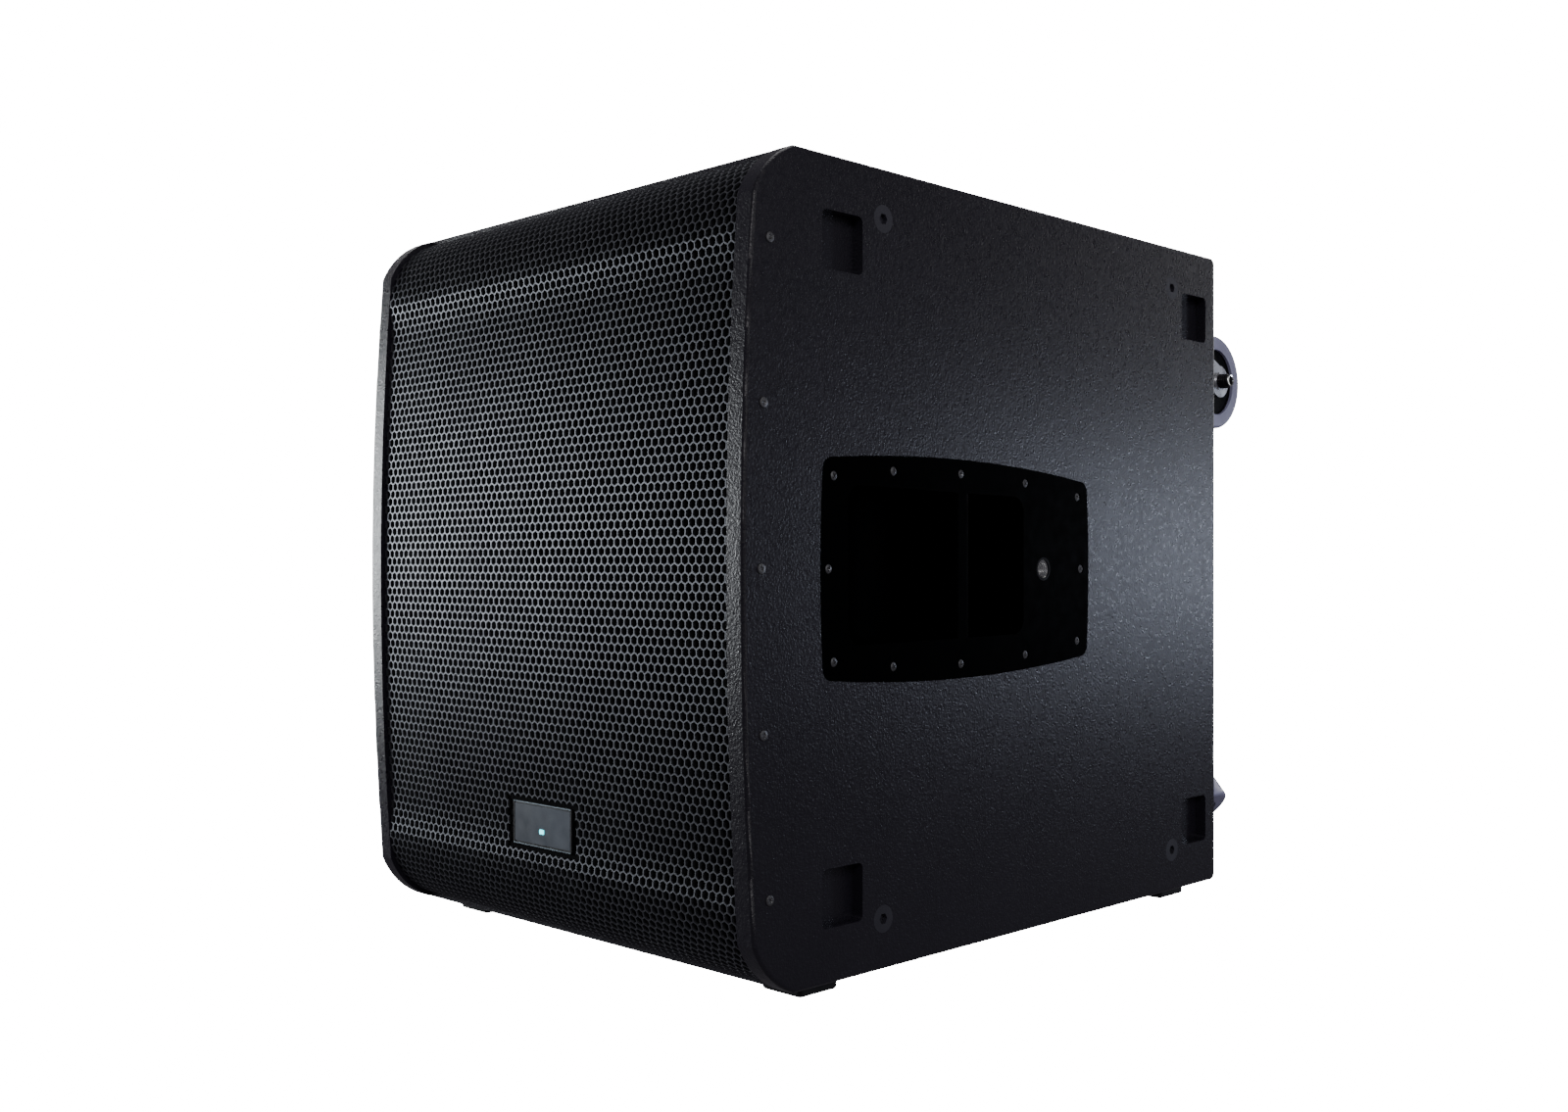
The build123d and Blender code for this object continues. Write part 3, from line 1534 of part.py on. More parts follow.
# ---- build and save every piece --------------------------------------------------------------------
single_pieces = {
    "side_panel_left": side_panel(-1),
    "side_panel_right": side_panel(1),
    "top_panel": top_panel(),
    "bottom_panel": bottom_panel(),
    "back_panel": back_panel(),
    "front_baffle": front_baffle(),
    "window_brace": window_brace(),
    "grille": grille(),
    "grille_foam": grille_foam(),
    "grille_screws": grille_screws(),
    "badge_plate": badge_plate(),
    "badge_led": badge_led(),
    "handle_left": handle(-1),
    "handle_right": handle(1),
    "pole_inserts": pole_inserts(),
    "top_socket_plate": top_socket_plate(),
    "recess_screws": recess_screws(),
    "rubber_feet": rubber_feet(),
    "foot_screws": foot_screws(),
    "rigging_plugs": rigging_plugs(),
    "rigging_nuts": rigging_nuts(),
    "woofer_basket": woofer_basket(),
    "woofer_magnet": woofer_magnet(),
    "woofer_cone": woofer_cone(),
    "woofer_surround": woofer_surround(),
    "woofer_dust_cap": woofer_dust_cap(),
    "voice_coil": voice_coil(),
    "woofer_spider": woofer_spider(),
    "woofer_screws": woofer_screws(),
    "port_tube_left": port_tube(-1),
    "port_tube_right": port_tube(1),
    "amp_panel": amp_panel(),
    "amp_housing": amp_housing(),
    "amp_board": amp_board(),
    "amp_heatsink": amp_heatsink(),
    "amp_display": amp_display(),
    "encoder_knob": encoder_knob(),
    "mode_button": mode_button(),
    "xlr_input": panel_socket(xlr_input_x, with_pins=False),
    "xlr_link": panel_socket(xlr_link_x, with_pins=True),
    "xlr_latch": xlr_latch(),
    "power_inlet": power_inlet(),
    "power_rocker": tilted(power_rocker(), rocker_axis, rocker_angle),
    "amp_screws": amp_screws(),
    "caster_plates": caster_plates(),
    "caster_screws": caster_screws(),
    "acoustic_lining": acoustic_lining(),
    "speaker_leads": speaker_leads(),
}
for piece_name, piece in single_pieces.items():
    save(piece, piece_name)

for corner, (swivel_x, swivel_z) in caster_centres().items():
    swivel_axis = Axis((swivel_x, 0, swivel_z), (0, 1, 0))
    turn = caster_turns[corner]
    save(tilted(caster_fork(swivel_x, swivel_z), swivel_axis, turn), f"caster_fork_{corner}")
    save(tilted(caster_core(swivel_x, swivel_z), swivel_axis, turn), f"caster_core_{corner}")
    save(tilted(caster_tyre(swivel_x, swivel_z), swivel_axis, turn), f"caster_tyre_{corner}")
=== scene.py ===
import bpy
import bmesh
import math
from mathutils import Matrix, Vector, noise


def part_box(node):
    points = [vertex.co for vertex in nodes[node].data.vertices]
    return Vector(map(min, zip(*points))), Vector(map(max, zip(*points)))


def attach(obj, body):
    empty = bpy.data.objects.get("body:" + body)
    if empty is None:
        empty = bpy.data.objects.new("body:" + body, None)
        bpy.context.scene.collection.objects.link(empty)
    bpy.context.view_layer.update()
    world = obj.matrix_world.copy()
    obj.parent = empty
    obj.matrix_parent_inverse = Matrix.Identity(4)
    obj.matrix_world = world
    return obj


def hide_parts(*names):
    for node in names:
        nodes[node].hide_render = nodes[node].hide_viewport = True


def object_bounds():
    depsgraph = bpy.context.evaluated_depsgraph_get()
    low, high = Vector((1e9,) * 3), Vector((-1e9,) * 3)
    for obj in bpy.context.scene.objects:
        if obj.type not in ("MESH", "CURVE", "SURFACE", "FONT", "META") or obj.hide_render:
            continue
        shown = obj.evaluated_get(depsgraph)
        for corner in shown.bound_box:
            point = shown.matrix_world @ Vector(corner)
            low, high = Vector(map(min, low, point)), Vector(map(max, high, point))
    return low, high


# Looks of the PA speaker cabinet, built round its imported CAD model. Metres, row frame:
# the grille faces -Y, +Z is up, the handle side seen from the camera is +X.
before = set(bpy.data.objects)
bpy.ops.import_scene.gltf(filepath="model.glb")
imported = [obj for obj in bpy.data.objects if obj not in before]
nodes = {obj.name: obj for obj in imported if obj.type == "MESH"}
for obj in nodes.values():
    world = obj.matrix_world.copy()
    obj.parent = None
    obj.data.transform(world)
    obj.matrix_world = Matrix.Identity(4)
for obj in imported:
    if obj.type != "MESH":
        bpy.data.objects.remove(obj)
cad_low, cad_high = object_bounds()

MM = 0.001


# ---- small helpers -------------------------------------------------------------------------
def link(obj):
    bpy.context.scene.collection.objects.link(obj)
    return obj


def centre_of(node):
    low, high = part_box(node)
    return (low + high) / 2


def mesh_piece(name, bm, body, material, replaces=(), smooth_angle=None):
    """Turn a bmesh into a piece that rides on a body, with its material."""
    mesh = bpy.data.meshes.new(name)
    bmesh.ops.recalc_face_normals(bm, faces=bm.faces)
    bm.to_mesh(mesh)
    bm.free()
    obj = link(bpy.data.objects.new(name, mesh))
    mesh.materials.append(material)
    if smooth_angle is not None:
        mesh.shade_smooth()
        mesh.set_sharp_from_angle(angle=math.radians(smooth_angle))
    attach(obj, body)
    if replaces:
        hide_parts(*replaces)
    return obj


def circle(radius, segments):
    """Points of a circle in its own plane."""
    return [
        (radius * math.cos(2 * math.pi * k / segments), radius * math.sin(2 * math.pi * k / segments))
        for k in range(segments)
    ]


def islands(node):
    """Boxes (low, high) of the separate solids of a CAD node."""
    mesh = nodes[node].data
    bm = bmesh.new()
    bm.from_mesh(mesh)
    bmesh.ops.remove_doubles(bm, verts=bm.verts, dist=1e-6)
    seen, found = set(), []
    for start in bm.verts:
        if start in seen:
            continue
        stack, members = [start], []
        seen.add(start)
        while stack:
            v = stack.pop()
            members.append(v.co.copy())
            for e in v.link_edges:
                w = e.other_vert(v)
                if w not in seen:
                    seen.add(w)
                    stack.append(w)
        low = Vector([min(m[i] for m in members) for i in range(3)])
        high = Vector([max(m[i] for m in members) for i in range(3)])
        found.append((low, high))
    bm.free()
    return found


# turns a piece's own +Z to a side of the cabinet
FACING = {
    "x+": Matrix.Rotation(math.radians(90), 4, "Y"),
    "x-": Matrix.Rotation(math.radians(-90), 4, "Y"),
    "y+": Matrix.Rotation(math.radians(-90), 4, "X"),
    "y-": Matrix.Rotation(math.radians(90), 4, "X"),
    "z+": Matrix.Identity(4),
    "z-": Matrix.Rotation(math.radians(180), 4, "X"),
}


def add_modifier(obj, kind, **settings):
    modifier = obj.modifiers.new(kind.lower(), kind)
    for key, value in settings.items():
        setattr(modifier, key, value)
    return modifier


# ---- materials -------------------------------------------------------------------------------
class Look:
    """A node material with its Principled shader and object coordinates at hand."""

    def __init__(self, name, colour, roughness, metallic=0.0, **constants):
        self.material = bpy.data.materials.new(name)
        self.material.use_nodes = True
        self.tree = self.material.node_tree
        self.shader = next(n for n in self.tree.nodes if n.type == "BSDF_PRINCIPLED")
        self.shader.inputs["Base Color"].default_value = (*colour, 1)
        self.shader.inputs["Roughness"].default_value = roughness
        self.shader.inputs["Metallic"].default_value = metallic
        for socket, value in constants.items():
            self.shader.inputs[socket.replace("_", " ")].default_value = value
        self.coords = self.node("ShaderNodeTexCoord").outputs["Object"]
        self.height = None

    def node(self, kind, **inputs):
        made = self.tree.nodes.new(kind)
        for key, value in inputs.items():
            made.inputs[key].default_value = value
        return made

    def join(self, output, target):
        self.tree.links.new(output, target)

    def noise(self, scale, detail=2.0, roughness=0.5, stretch=None):
        made = self.node("ShaderNodeTexNoise", Scale=scale, Detail=detail, Roughness=roughness)
        self.join(self.stretched(stretch), made.inputs["Vector"])
        return made.outputs["Fac"]

    def cells(self, scale, smoothness=1.0):
        made = self.node("ShaderNodeTexVoronoi", Scale=scale)
        made.feature = "SMOOTH_F1"
        made.inputs["Smoothness"].default_value = smoothness
        self.join(self.coords, made.inputs["Vector"])
        return made.outputs["Distance"]

    def stretched(self, stretch):
        if stretch is None:
            return self.coords
        mapping = self.node("ShaderNodeMapping")
        mapping.inputs["Scale"].default_value = stretch
        self.join(self.coords, mapping.inputs["Vector"])
        return mapping.outputs["Vector"]

    def ramp(self, value, stops):
        made = self.node("ShaderNodeValToRGB")
        elements = made.color_ramp.elements
        while len(elements) < len(stops):
            elements.new(0.5)
        for element, (position, colour) in zip(elements, stops):
            element.position = position
            element.color = (*colour, 1)
        self.join(value, made.inputs["Fac"])
        return made.outputs["Color"]

    def spread(self, value, low, high, socket):
        """Send a 0 to 1 pattern to a shader input, scaled between low and high."""
        made = self.node("ShaderNodeMapRange")
        made.inputs["From Min"].default_value = 0.3
        made.inputs["From Max"].default_value = 0.7
        made.inputs["To Min"].default_value = low
        made.inputs["To Max"].default_value = high
        self.join(value, made.inputs["Value"])
        self.join(made.outputs["Result"], self.shader.inputs[socket])

    def colour_from(self, value, stops):
        self.join(self.ramp(value, stops), self.shader.inputs["Base Color"])

    def bump(self, value, strength, distance):
        made = self.node("ShaderNodeBump", Strength=strength, Distance=distance)
        self.join(value, made.inputs["Height"])
        if self.height is not None:
            self.join(self.height, made.inputs["Normal"])
        self.height = made.outputs["Normal"]
        self.join(self.height, self.shader.inputs["Normal"])


def shades(colour, low, high):
    """A darker and a lighter shade of a colour."""
    return tuple(c * low for c in colour), tuple(c * high for c in colour)


def cabinet_paint():
    """Tough pebbled black coating: blobs of 2 to 3 mm under a finer grain, worn a little."""
    look = Look("cabinet_paint", (0.018, 0.0165, 0.024), 0.3, Specular_IOR_Level=0.4)
    tone = look.noise(9, detail=4)
    look.colour_from(tone, [(0.3, (0.0155, 0.0142, 0.021)), (0.7, (0.0205, 0.0188, 0.027))])
    look.spread(look.noise(220, detail=3), 0.25, 0.36, "Roughness")
    look.bump(look.noise(470, detail=1.5, roughness=0.6), 0.65, 0.0006)
    look.bump(look.noise(1300, detail=1.0), 0.5, 0.00018)
    return look.material


def grille_paint():
    """Powder coat on punched steel with a metallic glint, lighter than the cabinet."""
    look = Look("grille_paint", (0.12, 0.125, 0.138), 0.45, metallic=0.75)
    look.colour_from(look.noise(14, detail=3), [(0.3, (0.11, 0.114, 0.128)), (0.7, (0.13, 0.136, 0.15))])
    look.spread(look.noise(300), 0.4, 0.52, "Roughness")
    look.bump(look.noise(1800), 0.2, 0.00008)
    return look.material


def foam_black():
    look = Look("foam_black", (0.004, 0.004, 0.0045), 1.0, Specular_IOR_Level=0.1)
    look.colour_from(look.cells(500), [(0.1, (0.001, 0.001, 0.001)), (0.6, (0.007, 0.007, 0.008))])
    look.bump(look.cells(500), 0.6, 0.0008)
    return look.material


def moulded_plastic(name, colour, roughness, grain=900, strength=0.25, specular=0.5):
    """Spark-eroded satin plastic with a fine grain and faint sheen changes."""
    look = Look(name, colour, roughness, Specular_IOR_Level=specular)
    darker, lighter = shades(colour, 0.8, 1.25)
    look.colour_from(look.noise(25, detail=3), [(0.3, darker), (0.7, lighter)])
    look.spread(look.noise(80, detail=3), roughness - 0.05, roughness + 0.07, "Roughness")
    look.bump(look.noise(grain, detail=1.5), strength, 0.0001)
    return look.material


def zinc_plate(name="zinc_plate", colour=(0.74, 0.75, 0.77), roughness=0.28):
    """Bright zinc plating: faint cloudy sheen and fine rolling marks."""
    look = Look(name, colour, roughness, metallic=1.0)
    darker, plain = shades(colour, 0.93, 1)
    look.colour_from(look.noise(45, detail=3), [(0.3, darker), (0.7, plain)])
    look.spread(look.noise(90, detail=2), roughness - 0.04, roughness + 0.06, "Roughness")
    look.bump(look.noise(500, detail=2, stretch=(1, 6, 1)), 0.02, 0.00002)
    return look.material


def rolled_metal(name, colour, roughness, stretch=(1, 1, 14)):
    """Metal with a directional brushed grain."""
    look = Look(name, colour, roughness, metallic=1.0)
    grain = look.noise(260, detail=4, stretch=stretch)
    darker, plain = shades(colour, 0.85, 1)
    look.colour_from(grain, [(0.3, darker), (0.7, plain)])
    look.spread(grain, roughness - 0.06, roughness + 0.1, "Roughness")
    look.bump(grain, 0.1, 0.00008)
    return look.material


def soft_rubber(name, colour, roughness=0.62):
    look = Look(name, colour, roughness)
    darker, lighter = shades(colour, 0.85, 1.15)
    look.colour_from(look.noise(40, detail=4), [(0.3, darker), (0.7, lighter)])
    look.spread(look.noise(150, detail=3), roughness - 0.1, roughness + 0.1, "Roughness")
    look.bump(look.noise(1100, detail=2), 0.25, 0.00012)
    return look.material


def wood_ply():
    """Bare birch plywood, for the brace inside."""
    look = Look("wood_ply", (0.42, 0.3, 0.18), 0.6)
    look.colour_from(
        look.noise(30, detail=6, stretch=(1, 1, 12)), [(0.3, (0.33, 0.22, 0.12)), (0.7, (0.5, 0.37, 0.23))]
    )
    look.bump(look.noise(200, detail=3, stretch=(1, 1, 8)), 0.2, 0.0002)
    return look.material


def glowing(name, colour, strength):
    look = Look(name, colour, 0.3)
    look.shader.inputs["Emission Color"].default_value = (*colour, 1)
    look.shader.inputs["Emission Strength"].default_value = strength
    look.spread(look.noise(400), 0.25, 0.4, "Roughness")
    return look.material


def display_glass():
    look = Look("display_glass", (0.006, 0.009, 0.012), 0.08, Coat_Weight=0.6, Coat_Roughness=0.03)
    look.spread(look.noise(50, detail=4), 0.05, 0.13, "Roughness")
    return look.material


def circuit_board():
    look = Look("circuit_board", (0.02, 0.13, 0.06), 0.4)
    look.colour_from(look.cells(160), [(0.2, (0.015, 0.1, 0.045)), (0.7, (0.03, 0.17, 0.08))])
    look.bump(look.cells(160), 0.3, 0.0003)
    return look.material


def felt(name, colour):
    look = Look(name, colour, 0.95, Sheen_Weight=0.3)
    darker, lighter = shades(colour, 0.7, 1.15)
    look.colour_from(look.noise(300, detail=5), [(0.3, darker), (0.7, lighter)])
    look.bump(look.noise(500, detail=4), 0.6, 0.001)
    return look.material


paint = cabinet_paint()
grille_coat = grille_paint()
foam = foam_black()
satin_plastic = moulded_plastic("satin_plastic", (0.0008, 0.0008, 0.0009), 0.42, 700, 0.08, 0.006)
panel_plastic = moulded_plastic("panel_plastic", (0.006, 0.006, 0.007), 0.28)
badge_face = moulded_plastic("badge_face", (0.075, 0.092, 0.115), 0.36, 1200, 0.12)
badge_dark = moulded_plastic("badge_dark", (0.004, 0.004, 0.005), 0.4)
badge_line = rolled_metal("badge_line", (0.30, 0.36, 0.40), 0.35, (14, 1, 1))
screw_black = zinc_plate("screw_black", (0.2, 0.2, 0.205), 0.4)
plug_black = moulded_plastic("plug_black", (0.032, 0.031, 0.042), 0.5, 1200, 0.15)
bush_black = moulded_plastic("bush_black", (0.003, 0.003, 0.0035), 0.5, 1200, 0.15, 0.1)
zinc = zinc_plate()
bright_thread = zinc_plate("bright_thread", (0.78, 0.8, 0.78), 0.16)
foot_rubber = soft_rubber("foot_rubber", (0.012, 0.012, 0.014))
seal_rubber = soft_rubber("seal_rubber", (0.012, 0.012, 0.013), 0.45)
tread_rubber = soft_rubber("tread_rubber", (0.38, 0.38, 0.56), 0.42)
core_nylon = moulded_plastic("core_nylon", (0.0015, 0.0015, 0.002), 0.45, 900, 0.1, 0.03)
sleeve_black = moulded_plastic("sleeve_black", (0.006, 0.005, 0.008), 0.4, 900, 0.1, 0.15)
cast_coat = moulded_plastic("cast_coat", (0.02, 0.02, 0.022), 0.5, 500, 0.4)
magnet_coat = moulded_plastic("magnet_coat", (0.03, 0.03, 0.032), 0.55, 300, 0.3)
cone_paper = felt("cone_paper", (0.022, 0.022, 0.024))
lining_felt = felt("lining_felt", (0.5, 0.49, 0.46))
spider_cloth = felt("spider_cloth", (0.35, 0.22, 0.09))
copper_wire = rolled_metal("copper_wire", (0.72, 0.38, 0.2), 0.3, (1, 30, 1))
sheet_steel = zinc_plate("sheet_steel", (0.5, 0.51, 0.52), 0.35)
anodised = moulded_plastic("anodised", (0.045, 0.045, 0.05), 0.4, 1500, 0.15)
anodised_fins = rolled_metal("anodised_fins", (0.05, 0.05, 0.055), 0.42)
blue_plastic = moulded_plastic("blue_plastic", (0.02, 0.09, 0.32), 0.38)
lead_jacket = soft_rubber("lead_jacket", (0.02, 0.02, 0.022))
led_glow = glowing("led_glow", (0.08, 0.8, 0.9), 3.5)
led_green = glowing("led_green", (0.1, 0.8, 0.2), 1.2)
led_amber = glowing("led_amber", (0.9, 0.45, 0.05), 0.9)
display_face = display_glass()
board_green = circuit_board()

NODE_LOOKS = {
    "side_panel_left": paint,
    "side_panel_right": paint,
    "top_panel": paint,
    "bottom_panel": paint,
    "back_panel": paint,
    "front_baffle": paint,
    "window_brace": wood_ply(),
    "grille_foam": foam,
    "handle_left": satin_plastic,
    "handle_right": satin_plastic,
    "pole_inserts": bush_black,
    "top_socket_plate": plug_black,
    "rubber_feet": foot_rubber,
    "foot_screws": zinc,
    "rigging_plugs": plug_black,
    "rigging_nuts": zinc,
    "woofer_basket": cast_coat,
    "woofer_magnet": magnet_coat,
    "woofer_cone": cone_paper,
    "woofer_surround": seal_rubber,
    "woofer_dust_cap": cone_paper,
    "voice_coil": copper_wire,
    "woofer_spider": spider_cloth,
    "woofer_screws": screw_black,
    "port_tube_left": satin_plastic,
    "port_tube_right": satin_plastic,
    "amp_panel": anodised,
    "amp_housing": sheet_steel,
    "amp_board": board_green,
    "amp_heatsink": anodised_fins,
    "amp_display": panel_plastic,
    "encoder_knob": panel_plastic,
    "mode_button": panel_plastic,
    "xlr_input": panel_plastic,
    "xlr_link": panel_plastic,
    "xlr_latch": zinc,
    "power_inlet": blue_plastic,
    "power_rocker": panel_plastic,
    "caster_plates": zinc,
    "acoustic_lining": lining_felt,
    "speaker_leads": lead_jacket,
}
CASTERS = ("upper_right", "lower_right", "upper_left", "lower_left")
for corner in CASTERS:
    NODE_LOOKS[f"caster_fork_{corner}"] = zinc
    NODE_LOOKS[f"caster_core_{corner}"] = core_nylon
    NODE_LOOKS[f"caster_tyre_{corner}"] = tread_rubber


def dress(node, material):
    """Give a carried-over CAD node its material."""
    obj = nodes[node]
    obj.data.materials.clear()
    obj.data.materials.append(material)


for node_name, look_material in NODE_LOOKS.items():
    dress(node_name, look_material)


# ---- grille: steel sheet punched with staggered hexagons -------------------------------------
HOLE_PITCH = 8.15 * MM
ROW_PITCH = HOLE_PITCH * math.sin(math.radians(60))
HOLE_FLATS = 6.95 * MM
SHEET = 1.6 * MM
RECESS = 4.0 * MM
# front line of the side panels, which the grille follows
BOW = 11.2 * MM
CORNER_DROP = 41.5 * MM
CORNER_SET_BACK = 53.8 * MM
CORNER_RADIUS = 75.0 * MM
BOW_POINTS, CORNER_POINTS, CORNER_STEP = 110, 60, 1.5
EASE, EASE_STEPS = 15.0 * MM, 16
BADGE_MARGIN = 6.0 * MM
BADGE_BACK_MARGIN = 3.5 * MM
FLANGE_DEPTH = 24 * MM
FLANGE_HALF_HEIGHT = 262 * MM
FLANGE_STRIDE = 4


class FrontProfile:
    """The grille's outer surface as a line in (y, z) with its arc length, bottom to top."""

    def __init__(self):
        side_low, side_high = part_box("side_panel_right")
        self.half_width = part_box("grille")[1].x
        self.mid_z = (side_low.z + side_high.z) / 2
        self.top_z = side_high.z
        self.front_y = side_low.y
        self.end_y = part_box("top_panel")[0].y
        half = (side_high.z - side_low.z) / 2 - CORNER_DROP
        bow_radius = (half**2 + BOW**2) / (2 * BOW)
        bow_centre = Vector((self.front_y + bow_radius, self.mid_z))
        start = Vector((self.front_y + BOW, self.mid_z + half))
        end = Vector((self.front_y + CORNER_SET_BACK, self.top_z))
        chord = end - start
        lift = math.sqrt(CORNER_RADIUS**2 - (chord.length / 2) ** 2)
        inward = Vector((chord.y, -chord.x)).normalized()
        corner_centre = (start + end) / 2 + inward * lift
        upper = self.arc_points(bow_centre, bow_radius - RECESS, self.mid_z)
        corner = self.corner_points(corner_centre, CORNER_RADIUS - RECESS)
        join = self.meeting(bow_centre, bow_radius - RECESS, corner_centre, CORNER_RADIUS - RECESS)
        upper = [p for p in upper if p[1] < join[1]] + [join]
        corner = [p for p in corner if p[1] > join[1] + 1e-5]
        half_line = upper + corner
        half_line = self.eased(half_line, join)
        mirrored = [(y, 2 * self.mid_z - z) for y, z in reversed(half_line[1:])]
        self.points = [Vector(p) for p in mirrored + half_line]
        self.lengths = [0.0]
        for a, b in zip(self.points, self.points[1:]):
            self.lengths.append(self.lengths[-1] + (b - a).length)
        self.total = self.lengths[-1]

    def eased(self, line, join):
        """Round the bend where the two arcs meet, as rolled sheet does, over EASE each way."""
        join = Vector(join)
        kept = [Vector(p) for p in line if (Vector(p) - join).length > EASE]
        before = max((p for p in kept if p.y < join.y), key=lambda p: p.y)
        after = min((p for p in kept if p.y > join.y), key=lambda p: p.y)
        bend = []
        for i in range(1, EASE_STEPS):
            f = i / EASE_STEPS
            bend.append(before * (1 - f) ** 2 + join * 2 * f * (1 - f) + after * f**2)
        return [p for p in kept if p.y <= before.y] + bend + [p for p in kept if p.y >= after.y]

    def arc_points(self, centre, radius, mid_z):
        """The gentle bow, from mid-height upwards in 3 mm steps."""
        points = []
        for i in range(BOW_POINTS):
            z = mid_z + i * 3 * MM
            points.append((centre.x - math.sqrt(radius**2 - (z - mid_z) ** 2), z))
        return points

    def corner_points(self, centre, radius):
        """The tighter corner arc, up to where the grille ends at the top board."""
        points = []
        for i in range(CORNER_POINTS):
            angle = math.radians(180 - i * CORNER_STEP)
            y = centre.x + radius * math.cos(angle)
            if y > self.end_y:
                break
            points.append((y, centre.y + radius * math.sin(angle)))
        last = math.sqrt(radius**2 - (self.end_y - centre.x) ** 2)
        points.append((self.end_y, centre.y + last))
        return points

    def meeting(self, c1, r1, c2, r2):
        """Where the bow meets the corner arc, on the front side."""
        between = c2 - c1
        d = between.length
        along = (r1**2 - r2**2 + d**2) / (2 * d)
        across = math.sqrt(max(r1**2 - along**2, 0.0))
        unit = between / d
        side = Vector((-unit.y, unit.x))
        options = [c1 + unit * along + side * s * across for s in (1, -1)]
        best = min(options, key=lambda p: p.x)
        return (best.x, best.y)

    def at(self, s):
        """Point in (y, z) at arc length s."""
        s = min(max(s, 0.0), self.total)
        low, high = 0, len(self.lengths) - 1
        while high - low > 1:
            middle = (low + high) // 2
            if self.lengths[middle] <= s:
                low = middle
            else:
                high = middle
        a, b = self.points[low], self.points[high]
        span = self.lengths[high] - self.lengths[low]
        return a.lerp(b, (s - self.lengths[low]) / span)

    def length_at(self, z):
        """Arc length at height z."""
        best = min(range(len(self.points)), key=lambda i: abs(self.points[i].y - z))
        slope = 1.0 if self.points[best].y <= z else -1.0
        return self.lengths[best] + slope * abs(self.points[best].y - z)


def hexagon(x, s, flats):
    """Corners of a point-up hexagon."""
    radius = flats / math.sqrt(3)
    return [
        (x + radius * math.cos(math.radians(30 + 60 * i)), s + radius * math.sin(math.radians(30 + 60 * i)))
        for i in range(6)
    ]


def cut_flat(bm, point, normal, clear=False, only=None):
    """Slice the flat sheet along a line; clear drops what lies beyond it."""
    if only is None:
        geometry = bm.verts[:] + bm.edges[:] + bm.faces[:]
    else:
        faces = [f for f in bm.faces if only(f.calc_center_median())]
        edges = {e for f in faces for e in f.edges}
        geometry = faces + list(edges) + list({v for e in edges for v in e.verts})
    bmesh.ops.bisect_plane(
        bm, geom=geometry, dist=1e-7, plane_co=(*point, 0), plane_no=(*normal, 0), clear_outer=clear
    )


def punched_grille():
    """Punch the hexagons in a flat sheet, trim it, bend it round the front profile, return that."""
    profile = FrontProfile()
    middle = profile.total / 2
    rows = int(middle / ROW_PITCH) + 2
    columns = int(profile.half_width / HOLE_PITCH) + 2
    bm = bmesh.new()
    shared = {}

    def vertex(x, s):
        key = (round(x * 2e5), round(s * 2e5))
        if key not in shared:
            shared[key] = bm.verts.new((x, s, 0))
        return shared[key]

    for j in range(-rows, rows + 1):
        shift = HOLE_PITCH / 2 if j % 2 else 0.0
        for i in range(-columns, columns + 1):
            x, s = i * HOLE_PITCH + shift, middle + j * ROW_PITCH
            outer = [vertex(*p) for p in hexagon(x, s, HOLE_PITCH)]
            inner = [vertex(*p) for p in hexagon(x, s, HOLE_FLATS)]
            for k in range(6):
                m = (k + 1) % 6
                bm.faces.new((outer[k], outer[m], inner[m], inner[k]))
    half = profile.half_width
    cut_flat(bm, (half, 0), (1, 0), clear=True)
    cut_flat(bm, (-half, 0), (-1, 0), clear=True)
    cut_flat(bm, (0, profile.total), (0, 1), clear=True)
    cut_flat(bm, (0, 0), (0, -1), clear=True)
    badge_low, badge_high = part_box("badge_plate")
    x_low, x_high = badge_low.x - BADGE_MARGIN, badge_high.x + BADGE_MARGIN
    s_low = profile.length_at(badge_low.z - BADGE_BACK_MARGIN)
    s_high = profile.length_at(badge_high.z + BADGE_BACK_MARGIN)
    near = HOLE_PITCH * 2

    def by_badge(c):
        return x_low - near < c.x < x_high + near and s_low - near < c.y < s_high + near

    for point, normal in (
        ((x_low, 0), (-1, 0)),
        ((x_high, 0), (1, 0)),
        ((0, s_low), (0, -1)),
        ((0, s_high), (0, 1)),
    ):
        cut_flat(bm, point, normal, only=by_badge)
    inside = [
        f
        for f in bm.faces
        if x_low < f.calc_center_median().x < x_high and s_low < f.calc_center_median().y < s_high
    ]
    bmesh.ops.delete(bm, geom=inside, context="FACES")
    for v in bm.verts:
        y, z = profile.at(v.co.y)
        v.co = Vector((v.co.x, y, z))
    sheet = mesh_piece("grille_sheet", bm, "cabinet", grille_coat, ("grille",))
    add_modifier(sheet, "SOLIDIFY", thickness=SHEET, offset=-1.0, use_even_offset=True)
    return profile


front_profile = punched_grille()


def grille_flanges():
    """Return flanges of the grille, behind the side panels' edges."""
    x = front_profile.half_width - SHEET / 2
    for side, tag in ((1, "right"), (-1, "left")):
        bm = bmesh.new()
        rings = []
        for p in front_profile.points[::FLANGE_STRIDE]:
            if abs(p.y - front_profile.mid_z) > FLANGE_HALF_HEIGHT:
                continue
            front = bm.verts.new((side * x, p.x + SHEET, p.y))
            rear = bm.verts.new((side * x, p.x + FLANGE_DEPTH, p.y))
            rings.append((front, rear))
        for (a, b), (c, d) in zip(rings, rings[1:]):
            bm.faces.new((a, b, d, c))
        flange = mesh_piece(f"grille_flange_{tag}", bm, "cabinet", grille_coat)
        add_modifier(flange, "SOLIDIFY", thickness=SHEET, offset=0.0)


grille_flanges()


